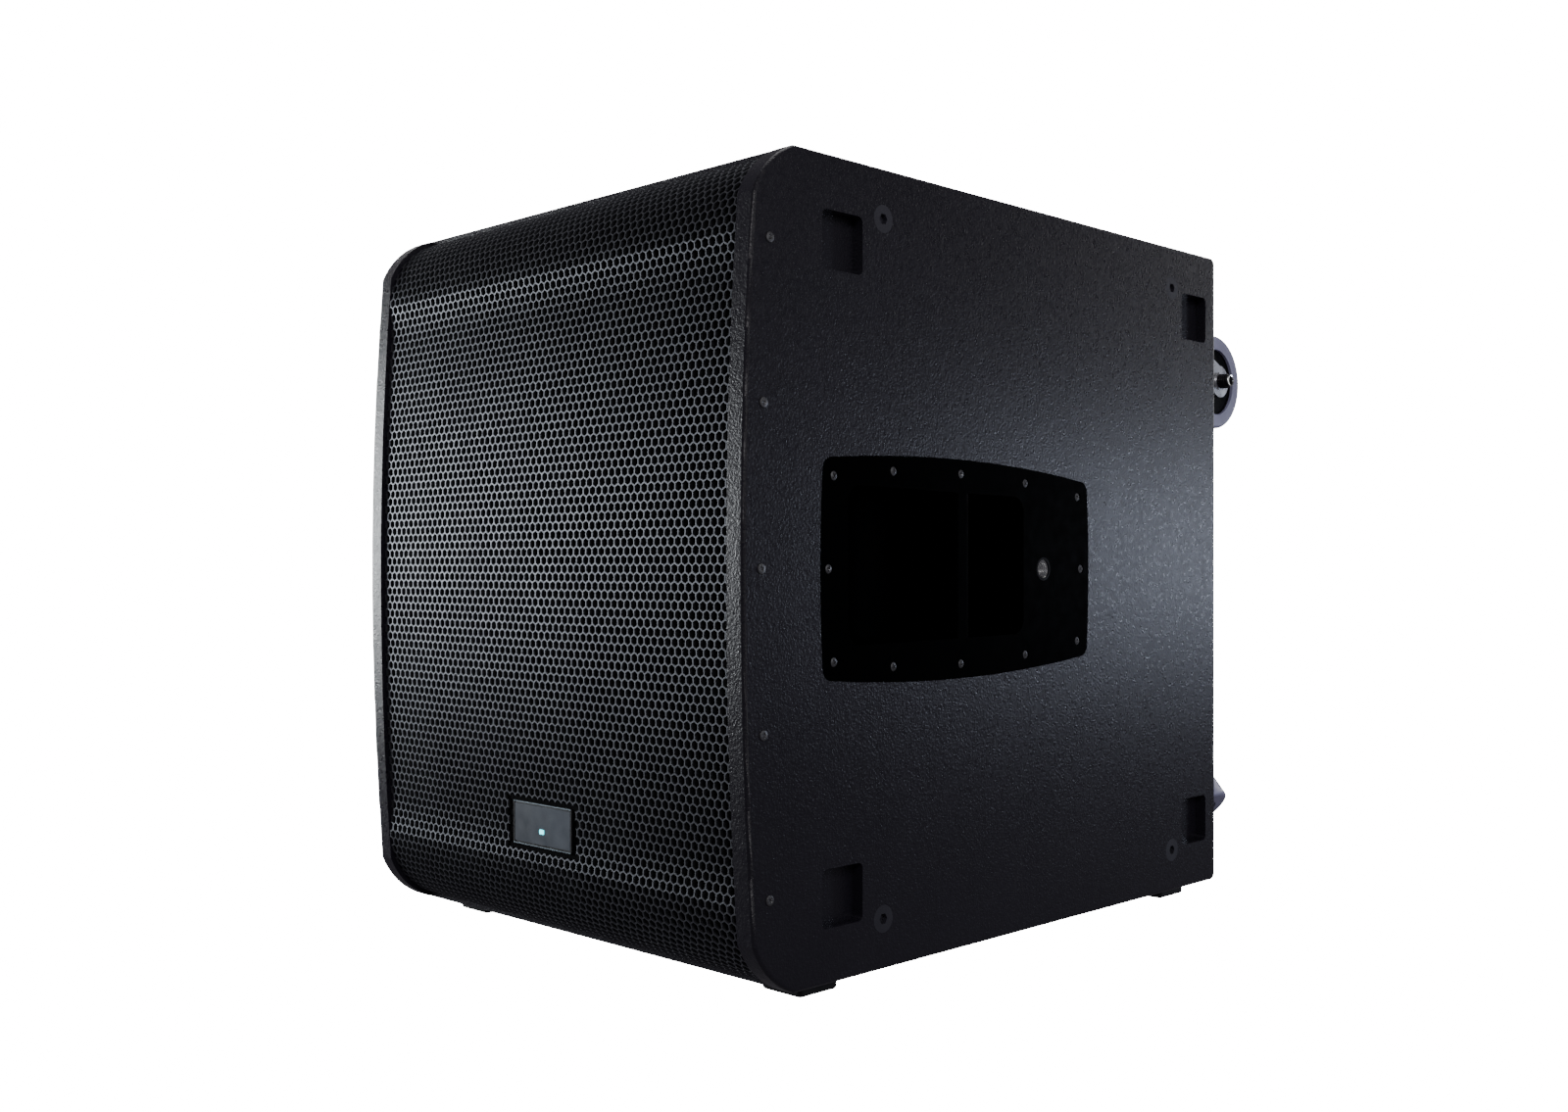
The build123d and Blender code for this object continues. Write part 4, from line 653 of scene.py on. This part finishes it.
# ---- foam behind the punched sheet --------------------------------------------------------------
FOAM_SET_BACK = 1.95 * MM
FOAM_THICKNESS = 4.8 * MM
FOAM_SAG = 0.5 * MM
FOAM_SAG_SCALE = 18
FOAM_COLUMNS = 60
FOAM_EDGE = 1 * MM


def grille_foam_sheet():
    """Open-cell foam that follows the punched sheet, a little uneven as glued foam is."""
    low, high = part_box("grille_foam")
    line = front_profile.points
    course = []
    for before, here, after in zip(line, line[1:], line[2:]):
        along = (after - before).normalized()
        inward = Vector((along.y, -along.x))
        rear = here + inward * (FOAM_SET_BACK + FOAM_THICKNESS)
        if rear.x < high.y - FOAM_EDGE and low.z + FOAM_EDGE < rear.y < high.z - FOAM_EDGE:
            course.append((here, inward))
    columns = FOAM_COLUMNS
    bm = bmesh.new()
    fronts, rears = [], []
    for here, inward in course:
        front_row, rear_row = [], []
        for i in range(columns + 1):
            x = low.x + (high.x - low.x) * i / columns
            sag = FOAM_SAG * (1 + noise.noise(Vector((x * FOAM_SAG_SCALE, here.y * FOAM_SAG_SCALE, 0))))
            front = here + inward * (FOAM_SET_BACK + sag)
            rear = here + inward * (FOAM_SET_BACK + FOAM_THICKNESS)
            front_row.append(bm.verts.new((x, front.x, front.y)))
            rear_row.append(bm.verts.new((x, rear.x, rear.y)))
        fronts.append(front_row)
        rears.append(rear_row)
    for a, b, c, d in zip(fronts, fronts[1:], rears, rears[1:]):
        for i in range(columns):
            bm.faces.new((a[i], a[i + 1], b[i + 1], b[i]))
            bm.faces.new((c[i], d[i], d[i + 1], c[i + 1]))
        bm.faces.new((a[0], b[0], d[0], c[0]))
        bm.faces.new((a[-1], c[-1], d[-1], b[-1]))
    for a, c in ((fronts[0], rears[0]), (fronts[-1], rears[-1])):
        for i in range(columns):
            bm.faces.new((a[i], c[i], c[i + 1], a[i + 1]))
    sheet = mesh_piece("grille_foam_sheet", bm, "cabinet", foam, ("grille_foam",), smooth_angle=50)


grille_foam_sheet()


# ---- badge ------------------------------------------------------------------------------------
BADGE_RIM = 1.6 * MM
BADGE_THICKNESS = 3 * MM
BADGE_POST_X = 30 * MM
BADGE_POST_RADIUS = 4 * MM


def rounded_loop(bm, x_half, z_half, radius, centre, y, steps=6):
    """A ring of vertices round a rounded rectangle that faces -Y."""
    ring = []
    for cx, cz, start in ((1, 1, 0), (-1, 1, 90), (-1, -1, 180), (1, -1, 270)):
        for i in range(steps + 1):
            a = math.radians(start + 90 * i / steps)
            x = centre.x + cx * (x_half - radius) + radius * math.cos(a)
            z = centre.z + cz * (z_half - radius) + radius * math.sin(a)
            ring.append(bm.verts.new((x, y, z)))
    return ring


def bridge(bm, a, b):
    n = len(a)
    return [bm.faces.new((a[i], a[(i + 1) % n], b[(i + 1) % n], b[i])) for i in range(n)]


def stepped_plate(name, steps, centre, body, material, replaces=()):
    """Closed plate from nested rounded rectangles: (half x, half z, corner, y) from the back."""
    bm = bmesh.new()
    rings = [rounded_loop(bm, hx, hz, r, centre, y) for hx, hz, r, y in steps]
    bm.faces.new(rings[0])
    for a, b in zip(rings, rings[1:]):
        bridge(bm, a, b)
    bm.faces.new(rings[-1])
    return mesh_piece(name, bm, body, material, replaces, smooth_angle=30)


def badge():
    """Bare slate plate in a dark recess, a pale line along its top and bottom, a small light."""
    low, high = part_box("badge_plate")
    front = low.y
    half_x, half_z = (high.x - low.x) / 2, (high.z - low.z) / 2
    centre = (low + high) / 2
    rim = BADGE_RIM
    stepped_plate(
        "badge_tray",
        [
            (half_x, half_z, 2 * MM, front + BADGE_THICKNESS),
            (half_x, half_z, 2 * MM, front + 0.5 * MM),
            (half_x - 0.5 * MM, half_z - 0.5 * MM, 1.6 * MM, front),
            (half_x - rim, half_z - rim, 1.2 * MM, front),
            (half_x - rim - 0.3 * MM, half_z - rim - 0.3 * MM, 1.0 * MM, front + 0.8 * MM),
        ],
        centre,
        "cabinet",
        badge_dark,
        ("badge_plate",),
    )
    stepped_plate(
        "badge_face",
        [
            (half_x - 2.2 * MM, half_z - 2.6 * MM, 0.8 * MM, front + 1.2 * MM),
            (half_x - 2.2 * MM, half_z - 2.6 * MM, 0.8 * MM, front + 0.45 * MM),
            (half_x - 2.5 * MM, half_z - 2.9 * MM, 0.6 * MM, front + 0.2 * MM),
        ],
        centre,
        "cabinet",
        badge_face,
    )
    for side in (-1, 1):
        line_centre = Vector((centre.x, 0, centre.z + side * (half_z - 0.9 * MM)))
        stepped_plate(
            "badge_line_top" if side > 0 else "badge_line_bottom",
            [
                (half_x - 1.0 * MM, 0.45 * MM, 0.3 * MM, front + 0.3 * MM),
                (half_x - 1.0 * MM, 0.45 * MM, 0.3 * MM, front - 0.1 * MM),
                (half_x - 1.1 * MM, 0.3 * MM, 0.2 * MM, front - 0.2 * MM),
            ],
            line_centre,
            "cabinet",
            badge_line,
        )
    back, baffle = front + BADGE_THICKNESS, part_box("front_baffle")[0].y
    for side in (-1, 1):
        bm = bmesh.new()
        place = Matrix.Translation((side * BADGE_POST_X, (back + baffle) / 2, centre.z))
        turn = Matrix.Rotation(math.radians(90), 4, "X")
        bmesh.ops.create_cone(
            bm,
            cap_ends=True,
            segments=24,
            radius1=BADGE_POST_RADIUS,
            radius2=BADGE_POST_RADIUS,
            depth=baffle - back,
            matrix=place @ turn,
        )
        mesh_piece(f"badge_post_{side + 2}", bm, "cabinet", badge_dark, smooth_angle=40)
    led_low, led_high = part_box("badge_led")
    led_centre = (led_low + led_high) / 2
    lx, lz = (led_high.x - led_low.x) / 2, (led_high.z - led_low.z) / 2
    stepped_plate(
        "badge_light",
        [
            (lx, lz, 0.9 * MM, led_high.y),
            (lx, lz, 0.9 * MM, led_low.y + 0.35 * MM),
            (lx - 0.35 * MM, lz - 0.35 * MM, 0.7 * MM, led_low.y),
        ],
        led_centre,
        "cabinet",
        led_glow,
        ("badge_led",),
    )


badge()


# ---- damping pads in the box --------------------------------------------------------------------
PAD_STEPS = 36
PAD_EDGE_SHARE = 0.3
PAD_CROWN_SHARE = 0.68
PAD_SIDE_PULL = 0.012
STAPLES = [(a, b) for a in (-0.75, 0, 0.75) for b in (-0.75, 0, 0.75)]
STAPLE_SPREAD = 0.006
STAPLE_DEPTH = 0.45


def damping_pads():
    """Crowned felt wadding, dimpled where it is stapled to the walls."""
    middle = (cad_low + cad_high) / 2
    steps = PAD_STEPS
    for n, (low, high) in enumerate(sorted(islands("acoustic_lining"), key=lambda b: tuple(b[0]))):
        size = high - low
        across = min(range(3), key=lambda i: size[i])
        u_axis, v_axis = [i for i in range(3) if i != across]
        inward = 1 if (low + high)[across] / 2 < middle[across] else -1
        wall = low[across] if inward > 0 else high[across]
        bm = bmesh.new()
        rows, flats = [], []
        for j in range(steps + 1):
            row, flat = [], []
            for i in range(steps + 1):
                u, v = 2 * i / steps - 1, 2 * j / steps - 1
                edge = max(0.0, (1 - abs(u) ** 10) * (1 - abs(v) ** 10))
                staple = sum(math.exp(-((u - a) ** 2 + (v - b) ** 2) / STAPLE_SPREAD) for a, b in STAPLES)
                crown = PAD_EDGE_SHARE + PAD_CROWN_SHARE * edge**0.4
                lift = size[across] * crown * (1 - STAPLE_DEPTH * min(staple, 1.0))
                pull = 1 - PAD_SIDE_PULL * (1 - math.cos(math.pi * 2 * v)) if abs(u) == 1 else 1
                place = [0.0, 0.0, 0.0]
                place[u_axis] = (low + high)[u_axis] / 2 + u * pull * size[u_axis] / 2
                place[v_axis] = (low + high)[v_axis] / 2 + v * size[v_axis] / 2
                place[across] = wall + inward * lift
                row.append(bm.verts.new(place))
                place[across] = wall
                flat.append(bm.verts.new(place))
            rows.append(row)
            flats.append(flat)
        for grid in (rows, flats):
            for a, b in zip(grid, grid[1:]):
                for i in range(steps):
                    bm.faces.new((a[i], a[i + 1], b[i + 1], b[i]))
        for k in (0, -1):
            for i in range(steps):
                bm.faces.new((rows[k][i], rows[k][i + 1], flats[k][i + 1], flats[k][i]))
                bm.faces.new((rows[i][k], rows[i + 1][k], flats[i + 1][k], flats[i][k]))
        mesh_piece(f"damping_pad_{n + 1}", bm, "cabinet", lining_felt, smooth_angle=70)
    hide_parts("acoustic_lining")


damping_pads()


# ---- screws ------------------------------------------------------------------------------------
PAN_HEAD = 2.4 * MM
LOW_HEAD = 1.2 * MM
HEAD_RINGS, HEAD_SEGMENTS = 14, 48
# shares of the head's height, or of its radius for the cross and the shank
DOME_FALL, RIM_HEIGHT, CROSS_DEPTH = 0.35, 0.35, 0.7
CROSS_REACH, CROSS_WIDTH, SHANK_SHARE = 0.55, 0.3, 0.5


def screw_head(bm, place, radius, dome, cross, slot_depth, shank=None):
    """Low domed head with a cross recess; place puts its seat at the origin, +Z outwards."""
    rings, segments = HEAD_RINGS, HEAD_SEGMENTS
    layers = []
    for i in range(rings + 1):
        r = radius * i / rings
        layer = []
        for k in range(segments if i else 1):
            a = 2 * math.pi * k / segments
            x, y = r * math.cos(a), r * math.sin(a)
            z = dome * (1 - DOME_FALL * (i / rings) ** 2)
            if i == rings:
                z = dome * RIM_HEIGHT
            across = min(abs(x), abs(y))
            along = max(abs(x), abs(y))
            if along < cross and across < cross * CROSS_WIDTH:
                fade = 1 - (along / cross) ** 3
                z -= slot_depth * fade
            layer.append(bm.verts.new(place @ Vector((x, y, z))))
        layers.append(layer)
    for k in range(segments):
        bm.faces.new((layers[0][0], layers[1][k], layers[1][(k + 1) % segments]))
    for a, b in zip(layers[1:], layers[2:]):
        for k in range(segments):
            m = (k + 1) % segments
            bm.faces.new((a[k], b[k], b[m], a[m]))
    base = [bm.verts.new(place @ Vector((v[0], v[1], 0))) for v in circle(radius, segments)]
    for k in range(segments):
        m = (k + 1) % segments
        bm.faces.new((layers[-1][k], base[k], base[m], layers[-1][m]))
    bm.faces.new(base)
    if shank:
        shank_radius, length = shank
        depth = Matrix.Translation((0, 0, -length / 2))
        bmesh.ops.create_cone(
            bm,
            cap_ends=True,
            segments=16,
            radius1=shank_radius,
            radius2=shank_radius,
            depth=length,
            matrix=place @ depth,
        )


def outward_of(low, high):
    """Which way a screw's head faces, from where its solid lies on the cabinet."""
    size = high - low
    axis = max(range(3), key=lambda i: size[i])
    middle = (low + high) / 2
    centre = (cad_low + cad_high) / 2
    sign = 1 if middle[axis] > centre[axis] else -1
    return axis, sign


def detailed_screws(node, material, head_height, facing=None):
    """Domed cross-head screws in place of a node of plain ones, each head at an angle of its own."""
    bm = bmesh.new()
    for low, high in islands(node):
        axis, sign = outward_of(low, high) if facing is None else facing
        middle = (low + high) / 2
        size = high - low
        radius = max(size[i] for i in range(3) if i != axis) / 2
        tip = high[axis] if sign > 0 else low[axis]
        seat = middle.copy()
        seat[axis] = tip - sign * head_height
        key = "xyz"[axis] + ("+" if sign > 0 else "-")
        turn = Matrix.Rotation(seat.x * 40 + seat.y * 31 + seat.z * 57, 4, "Z")
        place = Matrix.Translation(seat) @ FACING[key] @ turn
        shank = (radius * SHANK_SHARE, size[axis] - head_height)
        cross, depth = radius * CROSS_REACH, head_height * CROSS_DEPTH
        screw_head(bm, place, radius, head_height, cross, depth, shank)
    return mesh_piece(f"{node}_detailed", bm, "cabinet", material, (node,), smooth_angle=38)


detailed_screws("recess_screws", screw_black, PAN_HEAD)
detailed_screws("grille_screws", screw_black, LOW_HEAD)
detailed_screws("amp_screws", screw_black, PAN_HEAD, facing=(1, 1))
detailed_screws("caster_screws", zinc, PAN_HEAD, facing=(1, 1))


# ---- pole thread ---------------------------------------------------------------------------------
BORE_RADIUS = 8.65 * MM
THREAD_ROOT = 8.4 * MM
THREAD_CREST = 0.9 * MM
THREAD_PITCH = 2.5 * MM
THREAD_TURNS, THREAD_STEPS, THREAD_RUN_OUT = 14, 40, 6
THREAD_START = 2 * MM
LINER_WALL, LINER_EDGE = 0.3 * MM, 0.05 * MM
LINER_DEPTH = 40 * MM


def thread(name, place):
    """Helical thread ridge on the wall of a threaded socket."""
    bore_radius, crest, pitch = THREAD_ROOT, THREAD_CREST, THREAD_PITCH
    bm = bmesh.new()
    steps = THREAD_STEPS
    previous = None
    total = THREAD_TURNS * steps
    for i in range(total + 1):
        a = 2 * math.pi * i / steps
        z = -pitch * i / steps
        grow = min(1.0, i / THREAD_RUN_OUT, (total - i) / THREAD_RUN_OUT)
        corners = []
        for r, dz in (
            (bore_radius, -pitch * 0.42),
            (bore_radius - crest * grow, -pitch * 0.08),
            (bore_radius - crest * grow, pitch * 0.08),
            (bore_radius, pitch * 0.42),
        ):
            corners.append(bm.verts.new(place @ Vector((r * math.cos(a), r * math.sin(a), z + dz))))
        if previous:
            for k in range(4):
                m = (k + 1) % 4
                bm.faces.new((previous[k], previous[m], corners[m], corners[k]))
        else:
            bm.faces.new(corners)
        previous = corners
    bm.faces.new(previous)
    return mesh_piece(name, bm, "cabinet", bright_thread, smooth_angle=25)


def liner(name, place):
    """Plated wall of a threaded socket, a thin sleeve with its rim turned in."""
    bm = bmesh.new()
    segments = 48
    outer, inner = BORE_RADIUS - LINER_EDGE, BORE_RADIUS - LINER_WALL
    steps = [(outer, 0.0), (inner, -LINER_WALL), (inner, -LINER_DEPTH), (outer, -LINER_DEPTH)]
    rings = []
    for r, z in steps:
        rings.append([bm.verts.new(place @ Vector((x, y, z))) for x, y in circle(r, segments)])
    for a, b in zip(rings, rings[1:] + rings[:1]):
        bridge(bm, a, b)
    return mesh_piece(name, bm, "cabinet", bright_thread, smooth_angle=40)


def pole_threads():
    """Threads and plated walls of the two side sockets and the top one."""
    for (low, high), tag in zip(sorted(islands("pole_inserts"), key=lambda b: b[0].x), ("left", "right")):
        sign = 1 if tag == "right" else -1
        middle = (low + high) / 2
        mouth = (high.x if sign > 0 else low.x) - sign * THREAD_START
        place = Matrix.Translation((mouth, middle.y, middle.z)) @ FACING["x+" if sign > 0 else "x-"]
        thread(f"pole_thread_{tag}", place)
        liner(f"pole_liner_{tag}", place)
    low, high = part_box("top_socket_plate")
    middle = (low + high) / 2
    place = Matrix.Translation((middle.x, middle.y, high.z - THREAD_START))
    thread("pole_thread_top", place)
    liner("pole_liner_top", place)


pole_threads()


# ---- turned and ribbed details -------------------------------------------------------------------
def turned(name, place, steps, body, material, ribs=0, rib_depth=0.0):
    """Closed ring from (radius, height) steps round the place's +Z; ribs run on its outer steps."""
    bm = bmesh.new()
    segments = ribs * 8 if ribs else 64
    core = steps[0][0]
    rings = []
    for radius, z in steps:
        depth = rib_depth if radius > core else 0.0
        ring = []
        for k in range(segments):
            a = 2 * math.pi * k / segments
            r = radius + depth * 0.5 * (math.cos(ribs * a) - 1)
            ring.append(bm.verts.new(place @ Vector((r * math.cos(a), r * math.sin(a), z))))
        rings.append(ring)
    for a, b in zip(rings, rings[1:] + rings[:1]):
        bridge(bm, a, b)
    return mesh_piece(name, bm, body, material, smooth_angle=35)


DISPLAY_BORDER = 6 * MM
DISPLAY_RECESS = 1 * MM
PANE_GAP = 0.2 * MM
GRIP_RIBS = 30
LIGHT_SPACING, LIGHT_INSET, LIGHT_DROP = 14 * MM, 8 * MM, 12 * MM
SWIVEL_ANGLE = {"lower_right": 50.0}

# turned profiles in millimetres: (radius, height)
GRIP_STEPS = ((-0.6, -10), (0.7, -10), (0.9, -9.4), (0.9, -3), (0.5, -2.4), (-0.6, -2.4))
LIGHT_STEPS = ((0.05, 1.5), (1.0, 1.35), (1.5, 0.9), (1.6, -0.8), (0.05, -0.8))
COLLAR_STEPS = ((4.2, 21.8), (7.8, 21.8), (7.8, 28.6), (6.3, 29.4), (6.3, 32.2), (4.2, 32.2))
RIM_STEPS = ((4.4, 32.3), (6.4, 32.3), (6.5, 33.1), (5.9, 33.6), (4.7, 33.4))
PLUG_STEPS = ((0.05, 32.1), (4.3, 32.1), (4.3, 32.7), (0.05, 32.5))


def in_metres(steps, radius=0.0):
    """Profile steps in metres, their radii measured from a given one."""
    return [(radius + r * MM, z * MM) for r, z in steps]


def amp_details():
    """Display pane, ribbed grip on the menu knob, three small status lights."""
    low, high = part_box("amp_display")
    half_x = (high.x - low.x) / 2 - DISPLAY_BORDER - PANE_GAP
    half_z = (high.z - low.z) / 2 - DISPLAY_BORDER - PANE_GAP
    floor_y = high.y - DISPLAY_RECESS
    stepped_plate(
        "display_pane",
        [
            (half_x, half_z, 0.8 * MM, floor_y),
            (half_x, half_z, 0.8 * MM, floor_y + 0.5 * MM),
            (half_x - 0.4 * MM, half_z - 0.4 * MM, 0.6 * MM, floor_y + 0.7 * MM),
        ],
        centre_of("amp_display"),
        "cabinet",
        display_face,
    )
    knob_low, knob_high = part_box("encoder_knob")
    knob = (knob_low + knob_high) / 2
    steps = in_metres(GRIP_STEPS, (knob_high.x - knob_low.x) / 2)
    place = Matrix.Translation((knob.x, knob_high.y, knob.z)) @ FACING["y+"]
    turned("encoder_grip", place, steps, "encoder", seal_rubber, GRIP_RIBS, 0.8 * MM)
    panel_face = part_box("amp_panel")[1].y
    for n, material in enumerate((led_glow, led_green, led_amber)):
        x = low.x + LIGHT_INSET + LIGHT_SPACING * n
        place = Matrix.Translation((x, panel_face, low.z - LIGHT_DROP)) @ FACING["y+"]
        turned(f"status_light_{n + 1}", place, in_metres(LIGHT_STEPS), "cabinet", material)


def caster_sleeves():
    """Black collar over each axle nut with a bright rolled rim, dark inside."""
    for corner in CASTERS:
        facing = FACING["x+" if corner.endswith("right") else "x-"]
        turn = Matrix.Rotation(math.radians(SWIVEL_ANGLE.get(corner, 0.0)), 4, "Y")
        place = Matrix.Translation(centre_of(f"caster_core_{corner}")) @ turn @ facing
        for kind, steps, material, slot in (
            ("collar", COLLAR_STEPS, sleeve_black, "wheel_black"),
            ("rim", RIM_STEPS, bright_thread, "zinc"),
            ("plug", PLUG_STEPS, core_nylon, "wheel_black"),
        ):
            turned(f"axle_{kind}_{corner}", place, in_metres(steps), f"swivel_{corner}", material)


amp_details()
caster_sleeves()


# ---- world, floor, lights, camera ------------------------------------------------------------------
ROOM_LIGHT = 0.11
FLOOR_HALF = 12
CAMERA_PLACE = (1.0872, -1.1813, 0.335)
CAMERA_FORWARD = (-0.7065, 0.7077, 0)
LENS, SENSOR = 35.95, 36
SHIFT_Y = 0.00827
WHITE, COOL, PALE_COOL, WARM = (1, 1, 1), (0.74, 0.82, 1.0), (0.93, 0.97, 1.0), (1.0, 0.97, 1.0)
# name, place, target, size, power, colour
SOFTBOXES = (
    ("rear_right_box", (1.3, 1.95, 0.37), (0.26, 0.25, 0.37), (0.26, 0.24), 4.6, COOL),
    ("front_left_box", (-1.8, -1.3, 0.45), (-0.1, -0.39, 0.35), (0.7, 0.6), 24, PALE_COOL),
    ("behind_camera_box", (2.1, -1.9, 1.7), (0.26, -0.2, 0.5), (1.0, 0.8), 14, WARM),
    ("top_box", (0.0, 0.2, 2.4), (0, 0, 0.5), (1.6, 1.2), 12, WHITE),
    ("right_box", (3.3, 0.0, 1.3), (0.26, 0, 0.3), (2.0, 1.6), 9, WHITE),
    ("back_box", (0.1, 3.4, 1.3), (0, 0.3, 0.3), (2.0, 1.6), 20, WHITE),
    ("left_box", (-3.3, 0.2, 1.3), (-0.26, 0, 0.3), (2.0, 1.6), 16, WHITE),
)
BACKDROP_LIGHT = 20.0


def stage():
    """White backdrop and pale floor, kept out of the black paint's reflections; dim room light."""
    scene = bpy.context.scene
    world = bpy.data.worlds.new("studio")
    scene.world = world
    world.use_nodes = True
    tree = world.node_tree
    tree.nodes.clear()
    room = tree.nodes.new("ShaderNodeBackground")
    room.inputs["Color"].default_value = (0.93, 0.88, 1.0, 1)
    room.inputs["Strength"].default_value = ROOM_LIGHT
    backdrop = tree.nodes.new("ShaderNodeBackground")
    backdrop.inputs["Color"].default_value = (1, 1, 1, 1)
    backdrop.inputs["Strength"].default_value = BACKDROP_LIGHT
    rays = tree.nodes.new("ShaderNodeLightPath")
    mix = tree.nodes.new("ShaderNodeMixShader")
    output = tree.nodes.new("ShaderNodeOutputWorld")
    tree.links.new(rays.outputs["Is Camera Ray"], mix.inputs["Fac"])
    tree.links.new(room.outputs["Background"], mix.inputs[1])
    tree.links.new(backdrop.outputs["Background"], mix.inputs[2])
    tree.links.new(mix.outputs["Shader"], output.inputs["Surface"])

    bm = bmesh.new()
    bmesh.ops.create_grid(bm, x_segments=1, y_segments=1, size=FLOOR_HALF)
    mesh = bpy.data.meshes.new("floor")
    bm.to_mesh(mesh)
    bm.free()
    floor = link(bpy.data.objects.new("floor", mesh))
    pale = bpy.data.materials.new("pale_floor")
    pale.use_nodes = True
    shader = next(n for n in pale.node_tree.nodes if n.type == "BSDF_PRINCIPLED")
    shader.inputs["Base Color"].default_value = (0.9, 0.9, 0.9, 1)
    shader.inputs["Roughness"].default_value = 0.9
    shader.inputs["Emission Color"].default_value = (1, 1, 1, 1)
    shader.inputs["Emission Strength"].default_value = BACKDROP_LIGHT
    mesh.materials.append(pale)
    floor.visible_glossy = False
    floor.visible_diffuse = False


def softbox(name, place, target, size, power, colour):
    """Rectangular area light aimed at a target."""
    light = bpy.data.lights.new(name, "AREA")
    light.shape = "RECTANGLE"
    light.size, light.size_y = size
    light.energy = power
    light.color = colour
    obj = link(bpy.data.objects.new(name, light))
    obj.location = place
    obj.rotation_euler = (Vector(target) - Vector(place)).to_track_quat("-Z", "Y").to_euler()
    return obj


def camera():
    """Level camera at half the body's height, 45 degrees round to the right."""
    data = bpy.data.cameras.new("camera")
    data.sensor_width = SENSOR
    data.lens = LENS
    data.shift_y = SHIFT_Y
    data.clip_start = 0.05
    obj = link(bpy.data.objects.new("camera", data))
    obj.location = CAMERA_PLACE
    obj.rotation_euler = Vector(CAMERA_FORWARD).to_track_quat("-Z", "Y").to_euler()
    bpy.context.scene.camera = obj


camera()
stage()
for row in SOFTBOXES:
    softbox(*row)
